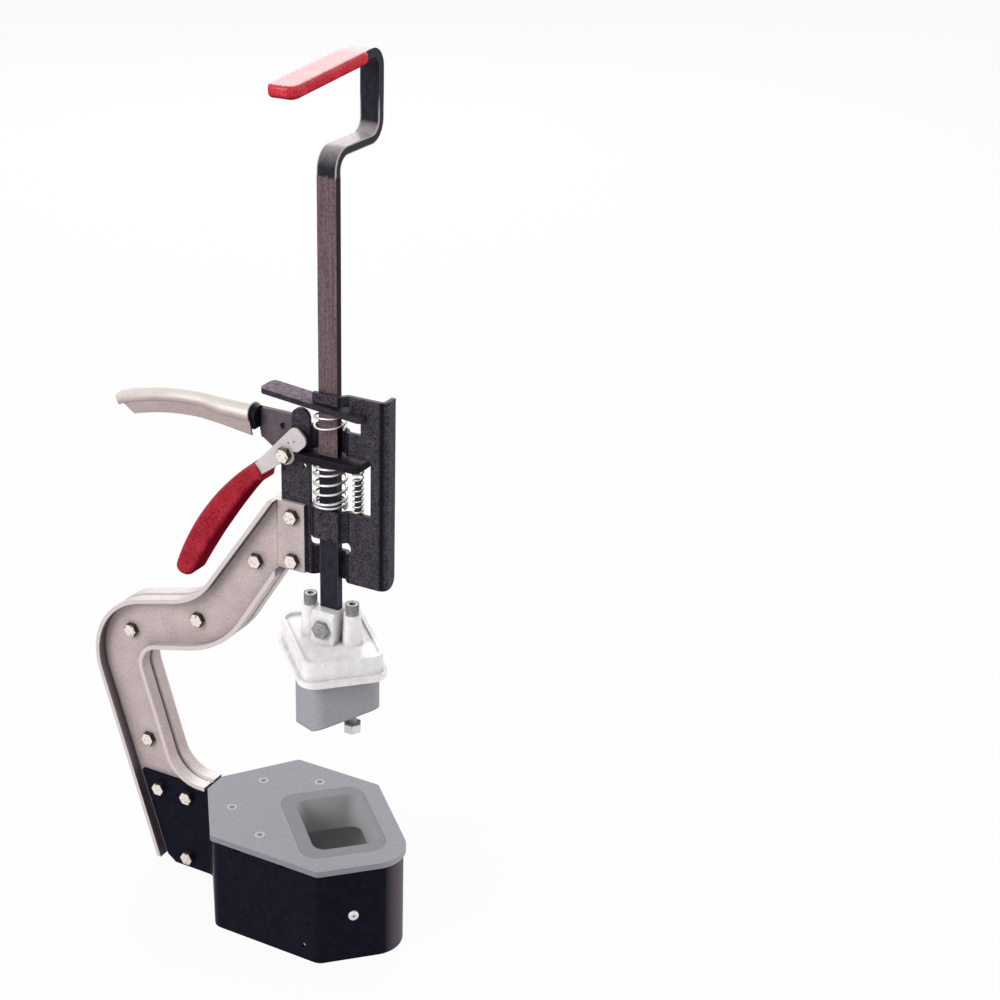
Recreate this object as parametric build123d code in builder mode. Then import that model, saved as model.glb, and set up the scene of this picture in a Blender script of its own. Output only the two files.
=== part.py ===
from build123d import *
import os
from math import atan2, cos, degrees, dist, pi, radians, sin, sqrt, tan

# Gutter outlet punch: a hand-squeezed ram over a die box, carried by a pressed steel neck.
# Millimetres. The origin is on the floor under the ram axis, +X to the front, +Z up,
# and -Y is the side that the bolt heads are on.

# Fits
slip = 0.15
guide_gap = 0.3
past = 2.0

# Ram bar, a flat bar bent over at the top into a handle
ram_width = 15.9
ram_thick = 6.4
ram_seat = 10.5
jog_rise = 177.5
jog_reach = 59.6
jog_radius = 13.0
handle_rise = 62.6
handle_radius = 12.0
handle_drop = 8.6
handle_reach = -57.0

# Top grip, moulded over the end of the bar
grip_width = 25.0
grip_thick = 9.2
grip_front = -62.0
grip_rear = 37.0
grip_corner = 8.0
grip_edge = 3.0

# Quarter-inch bolts and nuts
bolt_shank = 6.35
bolt_hole = 6.6
bolt_flats = 11.1
bolt_head = 4.4
nut_height = 5.6
bolt_proud = 2.0
hex_chamfer = 0.6
cross_flats = 12.7

# Neck side plates, pressed channels set back to back
neck_gauge = 3.5
neck_half = 12.7
neck_bend = 3.2
neck_foot = 4.0
leg_foot = -167.8
leg_lean = 16.9
elbow_rise = 8.2
elbow_radius = 61.0
shoulder_x = -120.0
shoulder_rise = 39.2
shoulder_radius = 60.0
brow_slope = 55.1
throat_x = -93.5
throat_z = 223.8
throat_radius = 87.0
throat_slope = 57.4
pit_x = -179.7
pit_drop = 21.5
pit_radius = 18.0
toe_x = -117.0
toe_run = 28.4
toe_rise = 5.7
toe_radius = 30.0
tab_end = -20.5
tab_inset = 0.7
tab_rise = 56.3
tab_bend = -43.0
joggle_angle = 45.0
throat_bolts = [(-96.3, -9.8), (-29.3, 17.5), (28.0, 84.2)]
leg_bolts = [(24.5, 113.9)]
ear_bolts = [(22.7, 70.5), (51.2, 70.5), (31.3, 10.0)]
tab_bolt_side = 10.5
tab_bolt_top = 11.0
tab_bolt_foot = 8.3

# Die box, one strip bent round and closed on the neck by its two ears
strip = 4.0
box_height = 83.0
box_half = 64.75
near_front = 90.4
far_front = 68.0
front_radius = 27.0
rear_apex = 120.8
rear_angle = 53.7
wall_bend = 8.0
ear_inset = 8.3
ear_chamfer = 6.0
notch_radius = 4.0
notch_spots = [-50.5, -7.0]
drain_radius = 2.5
drain_x = 11.6
drain_z = 12.5

# Die plate, with a seat for the insert set across the corner
plate_thick = 5.0
plate_overhang = 1.75
plate_cut = 5.8
plate_corner = 4.0
plate_apex = 28.0
seat_long = 95.25
seat_short = 69.85
seat_radius = 14.0
seat_turn = -45.0
die_screw_spots = [(-82.0, 23.5), (-82.0, -23.5), (-40.5, 45.5), (-40.5, -45.5)]
die_screw_radius = 2.4
die_screw_head = 4.6
die_screw_drop = 14.0

# Bolster under the die plate, with two legs against the front walls
bolster_thick = 12.0
bolster_ledge = 5.0
leg_thick = 3.0
leg_width = 22.0
leg_low = 30.0
box_screw_height = 42.0
box_screw_run = 28.5
box_screw_radius = 2.5
box_screw_head = 4.2
box_screw_dome = 2.0

# Punch and the insert that it enters
punch_long = 73.0
punch_short = 54.0
punch_radius = 10.0
punch_shift = 4.0
shear_drop = 52.8
shear_angle = 26.5
shear_turn = -12.0
die_gap = 0.3
insert_wall = 3.0
insert_deep = 27.0

# Punch holder, a casting with a boss for the bar and two towers for the bolts
holder_low = 239.5
lip_thick = 5.0
body_inset = 3.0
body_rise = 20.2
rim_width = 3.0
rim_deep = 2.0
boss_wide = 19.5
boss_deep = 28.0
boss_rise = 43.9
boss_chamfer = 3.0
tower_spots = [(-18.7, 0), (18.7, 0)]
tower_foot = 8.0
tower_top = 6.5
tower_lift = 42.5
cross_rise = 30.5
punch_bolt_radius = 3.0
punch_head_radius = 5.0
punch_head = 8.5
punch_bolt_drop = 61.0
punch_nut_drop = 60.0
punch_nut = 7.0
punch_nut_flats = 12.7
nut_pocket = 8.2

# Head plate, stamped, with straps lanced out in front and behind to guide the bar
head_gauge = 3.5
head_left = -42.5
head_low = 308.0
rear_strap = 34.0
front_strap = 25.0
window_rise = 45.0
guide_strap = 18.8
hook_lift = 20.8
hook_rise = 7.9
column_edge = 17.3
flange_x = 48.0
flange_depth = 13.0
flange_bend = 6.0
flange_corner = 8.0
ear_radius = 7.7
ear_drop = 17.3
ear_neck = 14.3
strap_run = 11.0
strap_foot = 16.0
strap_bend = 3.0
slot_right = 27.0
window_right = 35.5
relief_reach = 18.5
relief_high = 10.5
peep_radius = 2.0
peep_x = -22.0
peep_rise = 29.3
finger_width = 4.0
finger_high = 28.0

# Fixed handle
arm_gauge = 4.2
arm_rise = 4.4
knee_run = 1.5
arm_hole_radius = 2.7
arm_hole_deep = 3.0
arm_hole_back = 8.1
arm_hole_rise = 17.2
root_run = 31.5
root_lean = 12.0
socket_long = 26.5
waist_run = 19.0
shell_curve = 230.0
shell_turn = 21.5
crown_rise = 31.7
root_crown = 10.8
root_flank = 12.2
socket_crown = 10.3
socket_flank = 8.8
grip_crown = 8.2
grip_flank = 10.6
shell_gauge = 1.6
flank_inset = 1.2
tip_slant = 8.0
tip_round = 6.0
tip_wall = 5.0
core_proud = 3.5
core_grip = 22.0
core_drop = 8.0

# Trigger, with its outlines measured from the pivot
pivot_x = -34.0
pivot_rise = 1.9
cheek_gap = 14.8
cheek_gauge = 2.3
pivot_boss = 8.0
lever_end_radius = 6.0
grip_outer = [(-27.6, -12.0), (-76.2, -62.0), (-107.0, -122.3)]
grip_inner = [(-91.6, -126.5), (-58.0, -71.6), (-20.4, -21.1)]
grip_tip = 7.5
lever_heel = [(-24.0, -22.9), (-30.0, -18.4), (-29.0, -15.3)]
lever_head = [(9.0, 25.5), (21.2, 13.3)]
lever_nose = 11.5
lever_nose_radius = 3.0
lever_waist = (-4.6, -8.9)
trigger_half = 11.2
trigger_edge = 4.0
vinyl = 2.0
tang_short = 26.0
spacer_radius = 6.0

# Drive plate and its springs
spring_room = 37.0
drive_thick = 5.5
drive_left = -25.6
drive_right = 30.0
drive_half = 12.0
drive_corner = 5.0
nose_gap = 0.4
drive_wire = 2.3
drive_coil = 24.2
drive_turns = 6.0
drive_closed = 2
aux_wire = 1.3
aux_coil = 7.7
aux_turns = 9.0
aux_closed = 1
aux_x = 24.0
spring_seat = 0.1
turn_gap = 0.55
turn_steps = 24

# Release plate and its spring
release_thick = 4.2
release_tilt = 5.2
release_left = -56.0
release_right = 32.0
release_half = 10.0
release_pivot_x = 30.0
release_corner = 4.5
tilt_room = 0.5
release_wire = 1.8
release_coil = 23.4
release_turns = 2.5
release_closed = 1

# Derived heights, from the floor up
lower_split = head_low + rear_strap
window_low = lower_split + front_strap
window_high = window_low + window_rise
slot_low = window_high + guide_strap
hook_low = slot_low + hook_lift
head_high = hook_low + hook_rise
ear_centre = hook_low - ear_drop
ear_foot = ear_centre - ear_neck
tab_low = head_low + tab_inset
tab_high = tab_low + tab_rise
drive_low = window_low + spring_room
drive_top = drive_low + drive_thick
pivot_z = drive_low + pivot_rise
crown_top = pivot_z + crown_rise
arm_low = pivot_z + arm_rise
jog_height = head_high + jog_rise
handle_height = jog_height + handle_rise
ram_foot = holder_low + ram_seat
body_high = holder_low + body_rise
holder_floor = body_high - rim_deep
boss_high = holder_low + boss_rise
tower_high = holder_low + tower_lift
cross_height = holder_low + cross_rise
shear_height = holder_low - shear_drop
punch_bolt_low = holder_low - punch_bolt_drop
punch_nut_low = holder_low - punch_nut_drop
insert_low = box_height - insert_deep
elbow_height = throat_z + elbow_rise
shoulder_z = throat_z + shoulder_rise
pit_z = throat_z - pit_drop
toe_z = box_height + toe_rise

# Release plate, set just under the hook, and the slot that clears it
release_slope = tan(radians(release_tilt))
release_under = release_thick / 2 / cos(radians(release_tilt))
release_pivot_z = hook_low - guide_gap - (release_pivot_x + strap_run) * release_slope - release_under
slot_high = release_pivot_z + (release_pivot_x - column_edge) * release_slope + release_under + tilt_room
release_reach = release_pivot_x - (release_coil + release_wire) / 2
release_spring_high = release_pivot_z + release_reach * release_slope - release_under

# Derived places
ram_half = ram_thick / 2
head_half = head_gauge / 2
plate_low = box_height
plate_top = box_height + plate_thick
ear_mid = neck_gauge + strip / 2
ear_face = neck_gauge + strip
tab_face = head_half + neck_gauge
arm_face = head_half + arm_gauge
cheek_near = cheek_gap / 2
cheek_face = cheek_near + cheek_gauge
strap_mid = ram_half + guide_gap + head_half
ram_slot_half = ram_width / 2 + guide_gap
shift_x = punch_shift * cos(radians(seat_turn + 90))
shift_y = punch_shift * sin(radians(seat_turn + 90))
shell_root = pivot_x - root_run
socket_end = shell_root - socket_long
shell_waist = socket_end - waist_run
squeeze_plane = Plane(origin=(pivot_x, 0, pivot_z), x_dir=(1, 0, 0), z_dir=(0, -1, 0))


def leg_x(height):
    # Rear line of the leg at a height above the floor
    return leg_foot - height * tan(radians(leg_lean))


neck_bolt_spots = [(throat_x + x, throat_z + z) for x, z in throat_bolts]
neck_bolt_spots += [(leg_x(z) + x, z) for x, z in leg_bolts]
ear_bolt_spots = [(leg_x(z) + x, z) for x, z in ear_bolts]
tab_bolt_heights = [tab_high - tab_bolt_top, tab_low + tab_bolt_foot]
tab_bolt_spots = [(tab_end - tab_bolt_side, z) for z in tab_bolt_heights]


def box_corners(inset, ear_y):
    # Plan of the box walls, set in from the outer face, from the near ear round to the far ear
    half = box_half - inset
    near = near_front - inset * sqrt(2)
    far = far_front - inset * sqrt(2)
    apex = -rear_apex + inset / sin(radians(rear_angle))
    rear = apex + half / tan(radians(rear_angle))
    root = apex + ear_y / tan(radians(rear_angle))
    return [
        (root, -ear_y),
        (rear, -half),
        (near - half, -half),
        ((near + far) / 2, (far - near) / 2),
        (far - half, half),
        (rear, half),
        (root, ear_y),
    ]


def cross_holes(spots, radius, reach):
    # Holes along Y through the part that is being built
    with BuildSketch(Plane.XZ) as holes:
        with Locations(*spots):
            Circle(radius)
    extrude(holes.sketch, amount=reach, both=True, mode=Mode.SUBTRACT)


def hex_bolts(spots, face, far_face, flats=bolt_flats):
    # Hex bolts along Y with their heads on the near side
    with BuildPart() as bolts:
        with BuildSketch(Plane.XZ.offset(face)):
            with Locations(*spots):
                RegularPolygon(flats / 2, 6, major_radius=False)
        extrude(amount=bolt_head)
        chamfer(bolts.faces().filter_by(Axis.Y).group_by(Axis.Y)[0].edges(), hex_chamfer)
        with BuildSketch(Plane.XZ.offset(face)):
            with Locations(*spots):
                Circle(bolt_shank / 2)
        extrude(amount=-(face + far_face + nut_height + bolt_proud))
    return bolts.part


def hex_nuts(spots, far_face, flats=bolt_flats):
    # Hex nuts on the far ends of those bolts
    with BuildPart() as nuts:
        with BuildSketch(Plane.XZ.offset(-far_face)):
            with Locations(*spots):
                RegularPolygon(flats / 2, 6, major_radius=False)
        extrude(amount=-nut_height)
        chamfer(nuts.faces().filter_by(Axis.Y).group_by(Axis.Y)[-1].edges(), hex_chamfer)
        with BuildSketch(Plane.XZ.offset(-far_face)):
            with Locations(*spots):
                Circle(bolt_shank / 2 + slip / 2)
        extrude(amount=-nut_height, mode=Mode.SUBTRACT)
    return nuts.part


def coil_points(coil, wire, turns, closed_turns, low, high):
    # Half-turn points of a spring with closed ends, with the pitch at each point
    halves = round(turns * 2)
    closed = wire + turn_gap
    dead = 2 * closed_turns
    weights = [0.0 if i < dead or i > halves - 2 else 1.0 for i in range(halves + 1)]
    rise = high - low - wire - 2 * spring_seat
    blend = sum(a + b for a, b in zip(weights, weights[1:])) / 4
    pitch = closed + (rise - closed * halves / 2) / blend
    pitches = [closed + weight * (pitch - closed) for weight in weights]
    height = low + wire / 2 + spring_seat
    points = []
    for i, here in enumerate(pitches):
        angle = pi * i
        points.append((coil / 2 * cos(angle), coil / 2 * sin(angle), height, here, angle))
        if i < halves:
            height += (here + pitches[i + 1]) / 4
    return points


def spring(name, centre_x, coil, wire, turns, closed_turns, low, high):
    # One round wire swept along half-turn pairs of arcs
    points = coil_points(coil, wire, turns, closed_turns, low, high)
    path_points = []
    with BuildPart() as body:
        with BuildLine() as path:
            for a, b in zip(points, points[1:]):
                start = Vector(a[0] + centre_x, a[1], a[2])
                end = Vector(b[0] + centre_x, b[1], b[2])
                leave = Vector(-sin(a[4]), cos(a[4]), a[3] / (pi * coil)).normalized()
                arrive = Vector(-sin(b[4]), cos(b[4]), b[3] / (pi * coil)).normalized()
                span = end - start
                both = leave + arrive
                square = 2 * (1 - leave.dot(arrive))
                along = span.dot(both)
                reach = (sqrt(along ** 2 + square * span.dot(span)) - along) / square
                middle = (start + end + (leave - arrive) * reach) * 0.5
                turn = ((end - arrive * reach) - (start + leave * reach)).normalized()
                TangentArc(start, middle, tangent=leave)
                TangentArc(middle, end, tangent=turn)
        with BuildSketch(Plane(origin=path.line @ 0, z_dir=path.line % 0)):
            Circle(wire / 2)
        sweep()
    count = round(turns * turn_steps)
    for i in range(count + 1):
        path_points.append(tuple(path.line @ (i / count)))
    gap = min(
        dist(path_points[i], path_points[j]) - wire
        for i in range(count + 1)
        for j in range(i + turn_steps // 2, count + 1)
    )
    print(name, "least gap between turns", round(gap, 2))
    return body.part


# Head plate
with BuildPart() as head_plate:
    with BuildSketch(Plane.XZ):
        ear_left = -column_edge - 2 * ear_radius
        with BuildLine():
            Polyline(
                (ear_left, ear_centre),
                (ear_left, ear_foot),
                (head_left, ear_foot - (ear_left - head_left)),
                (head_left, head_low),
                (-column_edge, head_low),
                (-column_edge, ear_centre),
            )
            ThreePointArc(
                (-column_edge, ear_centre),
                (-column_edge - ear_radius, ear_centre + ear_radius),
                (ear_left, ear_centre),
            )
        make_face()
        with BuildLine():
            Polyline(
                (column_edge, head_low),
                (flange_x - flange_bend, head_low),
                (flange_x - flange_bend, head_high),
                (column_edge, head_high),
                close=True,
            )
        make_face()
        with Locations(((column_edge + slot_right) / 2, (slot_low + slot_high) / 2)):
            Rectangle(slot_right - column_edge, slot_high - slot_low, mode=Mode.SUBTRACT)
        with Locations(((column_edge + window_right) / 2, (window_low + window_high) / 2)):
            Rectangle(window_right - column_edge, window_high - window_low, mode=Mode.SUBTRACT)
        with Locations((aux_x, window_low + finger_high / 2)):
            Rectangle(finger_width, finger_high)
        with Locations((peep_x, window_low + peep_rise)):
            Circle(peep_radius, mode=Mode.SUBTRACT)
    extrude(amount=head_half, both=True)
    for low, high, side in [
        (slot_low, window_high, 1),
        (window_low, lower_split, -1),
        (lower_split, head_low, 1),
    ]:
        with BuildSketch(Plane.XY.offset(min(low, high))):
            with BuildLine():
                FilletPolyline(
                    (-column_edge - past, 0),
                    (-strap_foot, 0),
                    (-strap_run, side * strap_mid),
                    (strap_run, side * strap_mid),
                    (strap_foot, 0),
                    (column_edge + past, 0),
                    radius=strap_bend,
                )
            trace(line_width=head_gauge)
        extrude(amount=abs(high - low))
    with BuildSketch(Plane.XY.offset(hook_low)):
        with BuildLine():
            FilletPolyline(
                (-strap_run, -strap_mid),
                (strap_run, -strap_mid),
                (strap_foot, 0),
                (column_edge + past, 0),
                radius=strap_bend,
            )
        trace(line_width=head_gauge)
    extrude(amount=head_high - hook_low)
    with BuildSketch(Plane.XY.offset(head_low)):
        with BuildLine():
            FilletPolyline(
                (flange_x - flange_bend - past, 0),
                (flange_x - head_half, 0),
                (flange_x - head_half, flange_depth),
                radius=flange_bend - head_half,
            )
        trace(line_width=head_gauge)
    extrude(amount=head_high - head_low)
    corner = head_plate.edges().filter_by(Axis.X).group_by(Axis.Y)[-1].sort_by(Axis.Z)[0]
    fillet(corner, flange_corner)
    strap_face = strap_mid + head_half
    with BuildSketch(Plane.XZ):
        with Locations((0, lower_split - relief_high / 2)):
            SlotOverall(2 * relief_reach, relief_high)
    extrude(amount=strap_face + past, both=True, mode=Mode.SUBTRACT)
    cross_holes(tab_bolt_spots, bolt_hole / 2, tab_face + past)
    cross_holes([(pivot_x, pivot_z)], bolt_hole / 2, tab_face + past)

# Neck side plates
with BuildPart() as neck_plate_right:
    brow_run = (head_high - shoulder_z) / tan(radians(brow_slope))
    throat_run = (head_high - throat_z) / tan(radians(throat_slope))
    with BuildSketch(Plane.XZ):
        with BuildLine() as neck_edge:
            FilletPolyline(
                (leg_x(-neck_half), -neck_half),
                (leg_x(elbow_height), elbow_height),
                (shoulder_x, shoulder_z),
                (shoulder_x + brow_run, head_high),
                (throat_x + throat_run, head_high),
                (throat_x, throat_z),
                (pit_x, pit_z),
                (toe_x - toe_run, toe_z),
                (toe_x + neck_half, toe_z),
                (toe_x + neck_half, -neck_half),
                radius=[0, elbow_radius, shoulder_radius, 0, 0]
                + [throat_radius, pit_radius, toe_radius, 0, 0],
                close=True,
            )
        make_face()
    extrude(amount=neck_half)
    fillet(neck_plate_right.faces().sort_by(Axis.Y)[-1].edges(), neck_bend)
    with BuildSketch(Plane.XZ.offset(neck_gauge)):
        make_face(neck_edge.line.edges())
        offset(amount=-neck_gauge)
    extrude(amount=neck_half, mode=Mode.SUBTRACT)
    with BuildSketch(Plane.XZ.offset(neck_gauge)):
        rim = neck_gauge / cos(radians(leg_lean))
        under = toe_z - neck_gauge
        with BuildLine():
            Polyline(
                (leg_x(under) + rim, under),
                (toe_x + 2 * neck_half, under),
                (toe_x + 2 * neck_half, -2 * neck_half),
                (leg_x(-2 * neck_half) + rim, -2 * neck_half),
                close=True,
            )
        make_face()
    extrude(amount=neck_half, mode=Mode.SUBTRACT)
    with BuildSketch(Plane.XZ):
        with Locations((tab_bend, tab_high)):
            Rectangle(head_high, head_high, align=(Align.MIN, Align.CENTER))
        with Locations((tab_bend, tab_high)):
            Rectangle(2 * head_high, head_high, align=(Align.CENTER, Align.MIN))
        with Locations((0, neck_foot)):
            Rectangle(2 * head_high, head_high, align=(Align.CENTER, Align.MAX))
        with Locations((toe_x, toe_z / 2)):
            Rectangle(-toe_x - past, toe_z + past, align=(Align.MIN, Align.CENTER))
    extrude(amount=neck_half, both=True, mode=Mode.SUBTRACT)
    with BuildSketch(Plane.XY.offset(tab_low)):
        joggle = head_half
        sharp = neck_gauge * tan(radians(joggle_angle / 2))
        with BuildLine():
            Polyline(
                (tab_bend - joggle - sharp - past, 0),
                (tab_bend - joggle, 0),
                (tab_bend, -joggle),
                (tab_end, -joggle),
                (tab_end, -tab_face),
                (tab_bend - sharp, -tab_face),
                (tab_bend - joggle - sharp, -neck_gauge),
                (tab_bend - joggle - sharp - past, -neck_gauge),
                close=True,
            )
        make_face()
    extrude(amount=tab_high - tab_low)
    cross_holes(neck_bolt_spots + tab_bolt_spots + ear_bolt_spots, bolt_hole / 2, neck_half)

with BuildPart() as neck_plate_left:
    mirror(neck_plate_right.part, about=Plane.XZ)

neck_bolts = hex_bolts(neck_bolt_spots, neck_gauge, neck_gauge)
neck_nuts = hex_nuts(neck_bolt_spots, neck_gauge)
tab_bolts = hex_bolts(tab_bolt_spots, tab_face, tab_face)
tab_nuts = hex_nuts(tab_bolt_spots, tab_face)
base_bolts = hex_bolts(ear_bolt_spots, ear_face, ear_face)
base_nuts = hex_nuts(ear_bolt_spots, ear_face)

# Die box
with BuildPart() as die_box:
    ear_tip = leg_x(box_height)
    with BuildSketch():
        with BuildLine():
            FilletPolyline(
                (ear_tip, -ear_mid),
                *box_corners(strip / 2, ear_mid),
                (ear_tip, ear_mid),
                radius=[wall_bend] * 3 + [front_radius - strip / 2] + [wall_bend] * 3,
            )
        trace(line_width=strip)
    extrude(amount=box_height)
    with BuildSketch(Plane.XZ):
        with BuildLine():
            Polyline(
                (leg_x(box_height + past) + ear_inset, box_height + past),
                (leg_x(ear_chamfer) + ear_inset, ear_chamfer),
                (leg_x(0) + ear_inset + ear_chamfer, 0),
                (leg_x(0) + ear_inset + ear_chamfer, -past),
                (ear_tip - strip, -past),
                (ear_tip - strip, box_height + past),
                close=True,
            )
        make_face()
    extrude(amount=ear_face + past, both=True, mode=Mode.SUBTRACT)
    cross_holes(ear_bolt_spots, bolt_hole / 2, ear_face + past)
    cross_holes([(x, box_height) for x in notch_spots], notch_radius, box_half + past)
    cross_holes([(drain_x, drain_z)], drain_radius, box_half + past)
    near_run = box_screw_run / sqrt(2)
    near_spot = (near_front - box_half + near_run, -box_half + near_run, box_screw_height)
    far_spot = (far_front - box_half + near_run, box_half - near_run, box_screw_height)
    near_wall = Plane(origin=near_spot, x_dir=(1, 1, 0), z_dir=(1, -1, 0))
    far_wall = Plane(origin=far_spot, x_dir=(-1, 1, 0), z_dir=(1, 1, 0))
    for wall in (near_wall, far_wall):
        with BuildSketch(wall):
            Circle(box_screw_radius + slip)
        extrude(amount=-strip - past, mode=Mode.SUBTRACT)

# Die plate
with BuildPart() as die_plate:
    with BuildSketch(Plane.XY.offset(plate_low)):
        with BuildLine():
            outline = box_corners(-plate_overhang, ear_mid)
            plate_rear = rear_apex - plate_cut
            plate_root = plate_cut + plate_overhang / sin(radians(rear_angle))
            plate_flat = plate_root * tan(radians(rear_angle))
            FilletPolyline(
                (-plate_rear, -plate_flat),
                *outline[1:-1],
                (-plate_rear, plate_flat),
                radius=[plate_corner] * 3 + [plate_apex] + [plate_corner] * 3,
                close=True,
            )
        make_face()
        RectangleRounded(seat_long, seat_short, seat_radius, rotation=seat_turn, mode=Mode.SUBTRACT)
    extrude(amount=plate_thick)
    with Locations(*[(x, y, plate_top) for x, y in die_screw_spots]):
        CounterSinkHole(die_screw_radius + slip, die_screw_head, counter_sink_angle=90)

# Die insert, flush in the plate, with the hole that the punch enters
with BuildPart() as die_insert:
    insert_step = plate_low - bolster_thick + bolster_ledge
    with BuildSketch(Plane.XY.offset(insert_step)):
        RectangleRounded(
            seat_long - 2 * slip, seat_short - 2 * slip, seat_radius - slip, rotation=seat_turn
        )
    extrude(amount=plate_top - insert_step)
    with BuildSketch(Plane.XY.offset(insert_low)):
        with Locations((shift_x, shift_y)):
            RectangleRounded(
                punch_long + 2 * (die_gap + insert_wall),
                punch_short + 2 * (die_gap + insert_wall),
                punch_radius + die_gap + insert_wall,
                rotation=seat_turn,
            )
    extrude(amount=insert_step - insert_low)
    with BuildSketch(Plane.XY.offset(insert_low)):
        with Locations((shift_x, shift_y)):
            RectangleRounded(
                punch_long + 2 * die_gap,
                punch_short + 2 * die_gap,
                punch_radius + die_gap,
                rotation=seat_turn,
            )
    extrude(amount=plate_top - insert_low, mode=Mode.SUBTRACT)

# Bolster
with BuildPart() as die_bolster:
    with BuildSketch(Plane.XY.offset(plate_low - bolster_thick)):
        with BuildLine():
            FilletPolyline(
                *box_corners(strip + guide_gap, ear_mid),
                radius=[0] + [wall_bend] * 2 + [front_radius - strip] + [wall_bend] * 2 + [0],
                close=True,
            )
        make_face()
    extrude(amount=bolster_thick)
    with BuildSketch(Plane.XY.offset(insert_step)):
        RectangleRounded(seat_long, seat_short, seat_radius, rotation=seat_turn)
    extrude(amount=bolster_thick, mode=Mode.SUBTRACT)
    with BuildSketch(Plane.XY.offset(plate_low - bolster_thick)):
        with Locations((shift_x, shift_y)):
            RectangleRounded(
                punch_long + 2 * (die_gap + insert_wall + slip),
                punch_short + 2 * (die_gap + insert_wall + slip),
                punch_radius + die_gap + insert_wall + slip,
                rotation=seat_turn,
            )
    extrude(amount=bolster_thick, mode=Mode.SUBTRACT)
    for wall in (near_wall, far_wall):
        with BuildSketch(wall.offset(-strip)):
            with Locations((0, (leg_low + plate_low) / 2 - box_screw_height)):
                Rectangle(leg_width, plate_low - leg_low)
        extrude(amount=-leg_thick)
        with BuildSketch(wall):
            Circle(box_screw_radius + slip)
        extrude(amount=-strip - leg_thick - past, mode=Mode.SUBTRACT)
    with BuildSketch(Plane.XY.offset(plate_low)):
        with Locations(*die_screw_spots):
            Circle(die_screw_radius + slip)
    extrude(amount=-bolster_thick, mode=Mode.SUBTRACT)

with BuildPart() as die_screws:
    with BuildSketch(Plane.XY.offset(plate_top)):
        with Locations(*die_screw_spots):
            Circle(die_screw_radius)
    extrude(amount=-die_screw_drop)
    with BuildSketch(Plane.XY.offset(plate_top)):
        with Locations(*die_screw_spots):
            Circle(die_screw_head - slip)
    extrude(amount=-(die_screw_head - die_screw_radius), taper=45)

with BuildPart() as box_screws:
    for wall in (near_wall, far_wall):
        with BuildSketch(wall):
            Circle(box_screw_head)
        extrude(amount=box_screw_dome)
        outward = Axis(wall.origin, wall.z_dir)
        fillet(box_screws.edges(Select.LAST).sort_by(outward)[-1], box_screw_dome / 2)
        with BuildSketch(wall):
            Circle(box_screw_radius)
        extrude(amount=-strip - leg_thick - past)

# Ram bar
with BuildPart() as ram_bar:
    with BuildSketch(Plane.YZ.offset(-ram_width / 2)):
        with BuildLine():
            FilletPolyline(
                (0, ram_foot),
                (0, jog_height),
                (jog_reach, jog_height),
                (jog_reach, handle_height),
                (handle_reach, handle_height - handle_drop),
                radius=[jog_radius, jog_radius, handle_radius],
            )
        trace(line_width=ram_thick)
    extrude(amount=ram_width)
    cross_holes([(0, cross_height)], bolt_hole / 2, ram_thick)

# Top grip
with BuildPart() as top_grip:
    fall = handle_drop / (jog_reach - handle_reach)
    middle = handle_height - (jog_reach - (grip_front + grip_rear) / 2) * fall
    grip_plane = Plane(
        origin=(0, (grip_front + grip_rear) / 2, middle),
        x_dir=(1, 0, 0),
        z_dir=(0, -fall, 1),
    )
    with BuildSketch(grip_plane.offset(-grip_thick / 2)):
        RectangleRounded(grip_width, grip_rear - grip_front, grip_corner)
    extrude(amount=grip_thick)
    fillet(top_grip.faces().filter_by(grip_plane).edges(), grip_edge)
    add(ram_bar.part, mode=Mode.SUBTRACT)

# Punch holder
with BuildPart() as punch_holder:
    with BuildSketch(Plane.XY.offset(holder_low)):
        RectangleRounded(seat_long, seat_short, seat_radius, rotation=seat_turn)
    extrude(amount=lip_thick)
    with BuildSketch(Plane.XY.offset(holder_low)):
        RectangleRounded(
            seat_long - 2 * body_inset,
            seat_short - 2 * body_inset,
            seat_radius - body_inset,
            rotation=seat_turn,
        )
    extrude(amount=body_high - holder_low)
    with BuildSketch(Plane.XY.offset(holder_floor)):
        RectangleRounded(
            seat_long - 2 * (body_inset + rim_width),
            seat_short - 2 * (body_inset + rim_width),
            seat_radius - body_inset - rim_width,
            rotation=seat_turn,
        )
    extrude(amount=rim_deep, mode=Mode.SUBTRACT)
    with BuildSketch(Plane.XY.offset(holder_floor)):
        Rectangle(boss_wide, boss_deep)
    extrude(amount=boss_high - holder_floor)
    chamfer(punch_holder.faces().sort_by(Axis.Z)[-1].edges().filter_by(Axis.X), boss_chamfer)
    with BuildSketch(Plane.XY.offset(holder_floor)):
        with Locations(*tower_spots):
            Circle(tower_foot)
    tower_rise = tower_high - holder_floor
    extrude(amount=tower_rise, taper=degrees(atan2(tower_foot - tower_top, tower_rise)))
    with BuildSketch(Plane.XY.offset(ram_foot)):
        Rectangle(ram_width + 2 * slip, ram_thick + 2 * slip)
    extrude(amount=boss_high, mode=Mode.SUBTRACT)
    with BuildSketch(Plane.XY.offset(holder_low)):
        with Locations(*tower_spots):
            Circle(punch_bolt_radius + slip)
    extrude(amount=boss_high, mode=Mode.SUBTRACT)
    cross_holes([(0, cross_height)], bolt_hole / 2, boss_deep)

cross_bolt = hex_bolts([(0, cross_height)], boss_deep / 2, boss_deep / 2, cross_flats)
cross_nut = hex_nuts([(0, cross_height)], boss_deep / 2, cross_flats)

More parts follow.
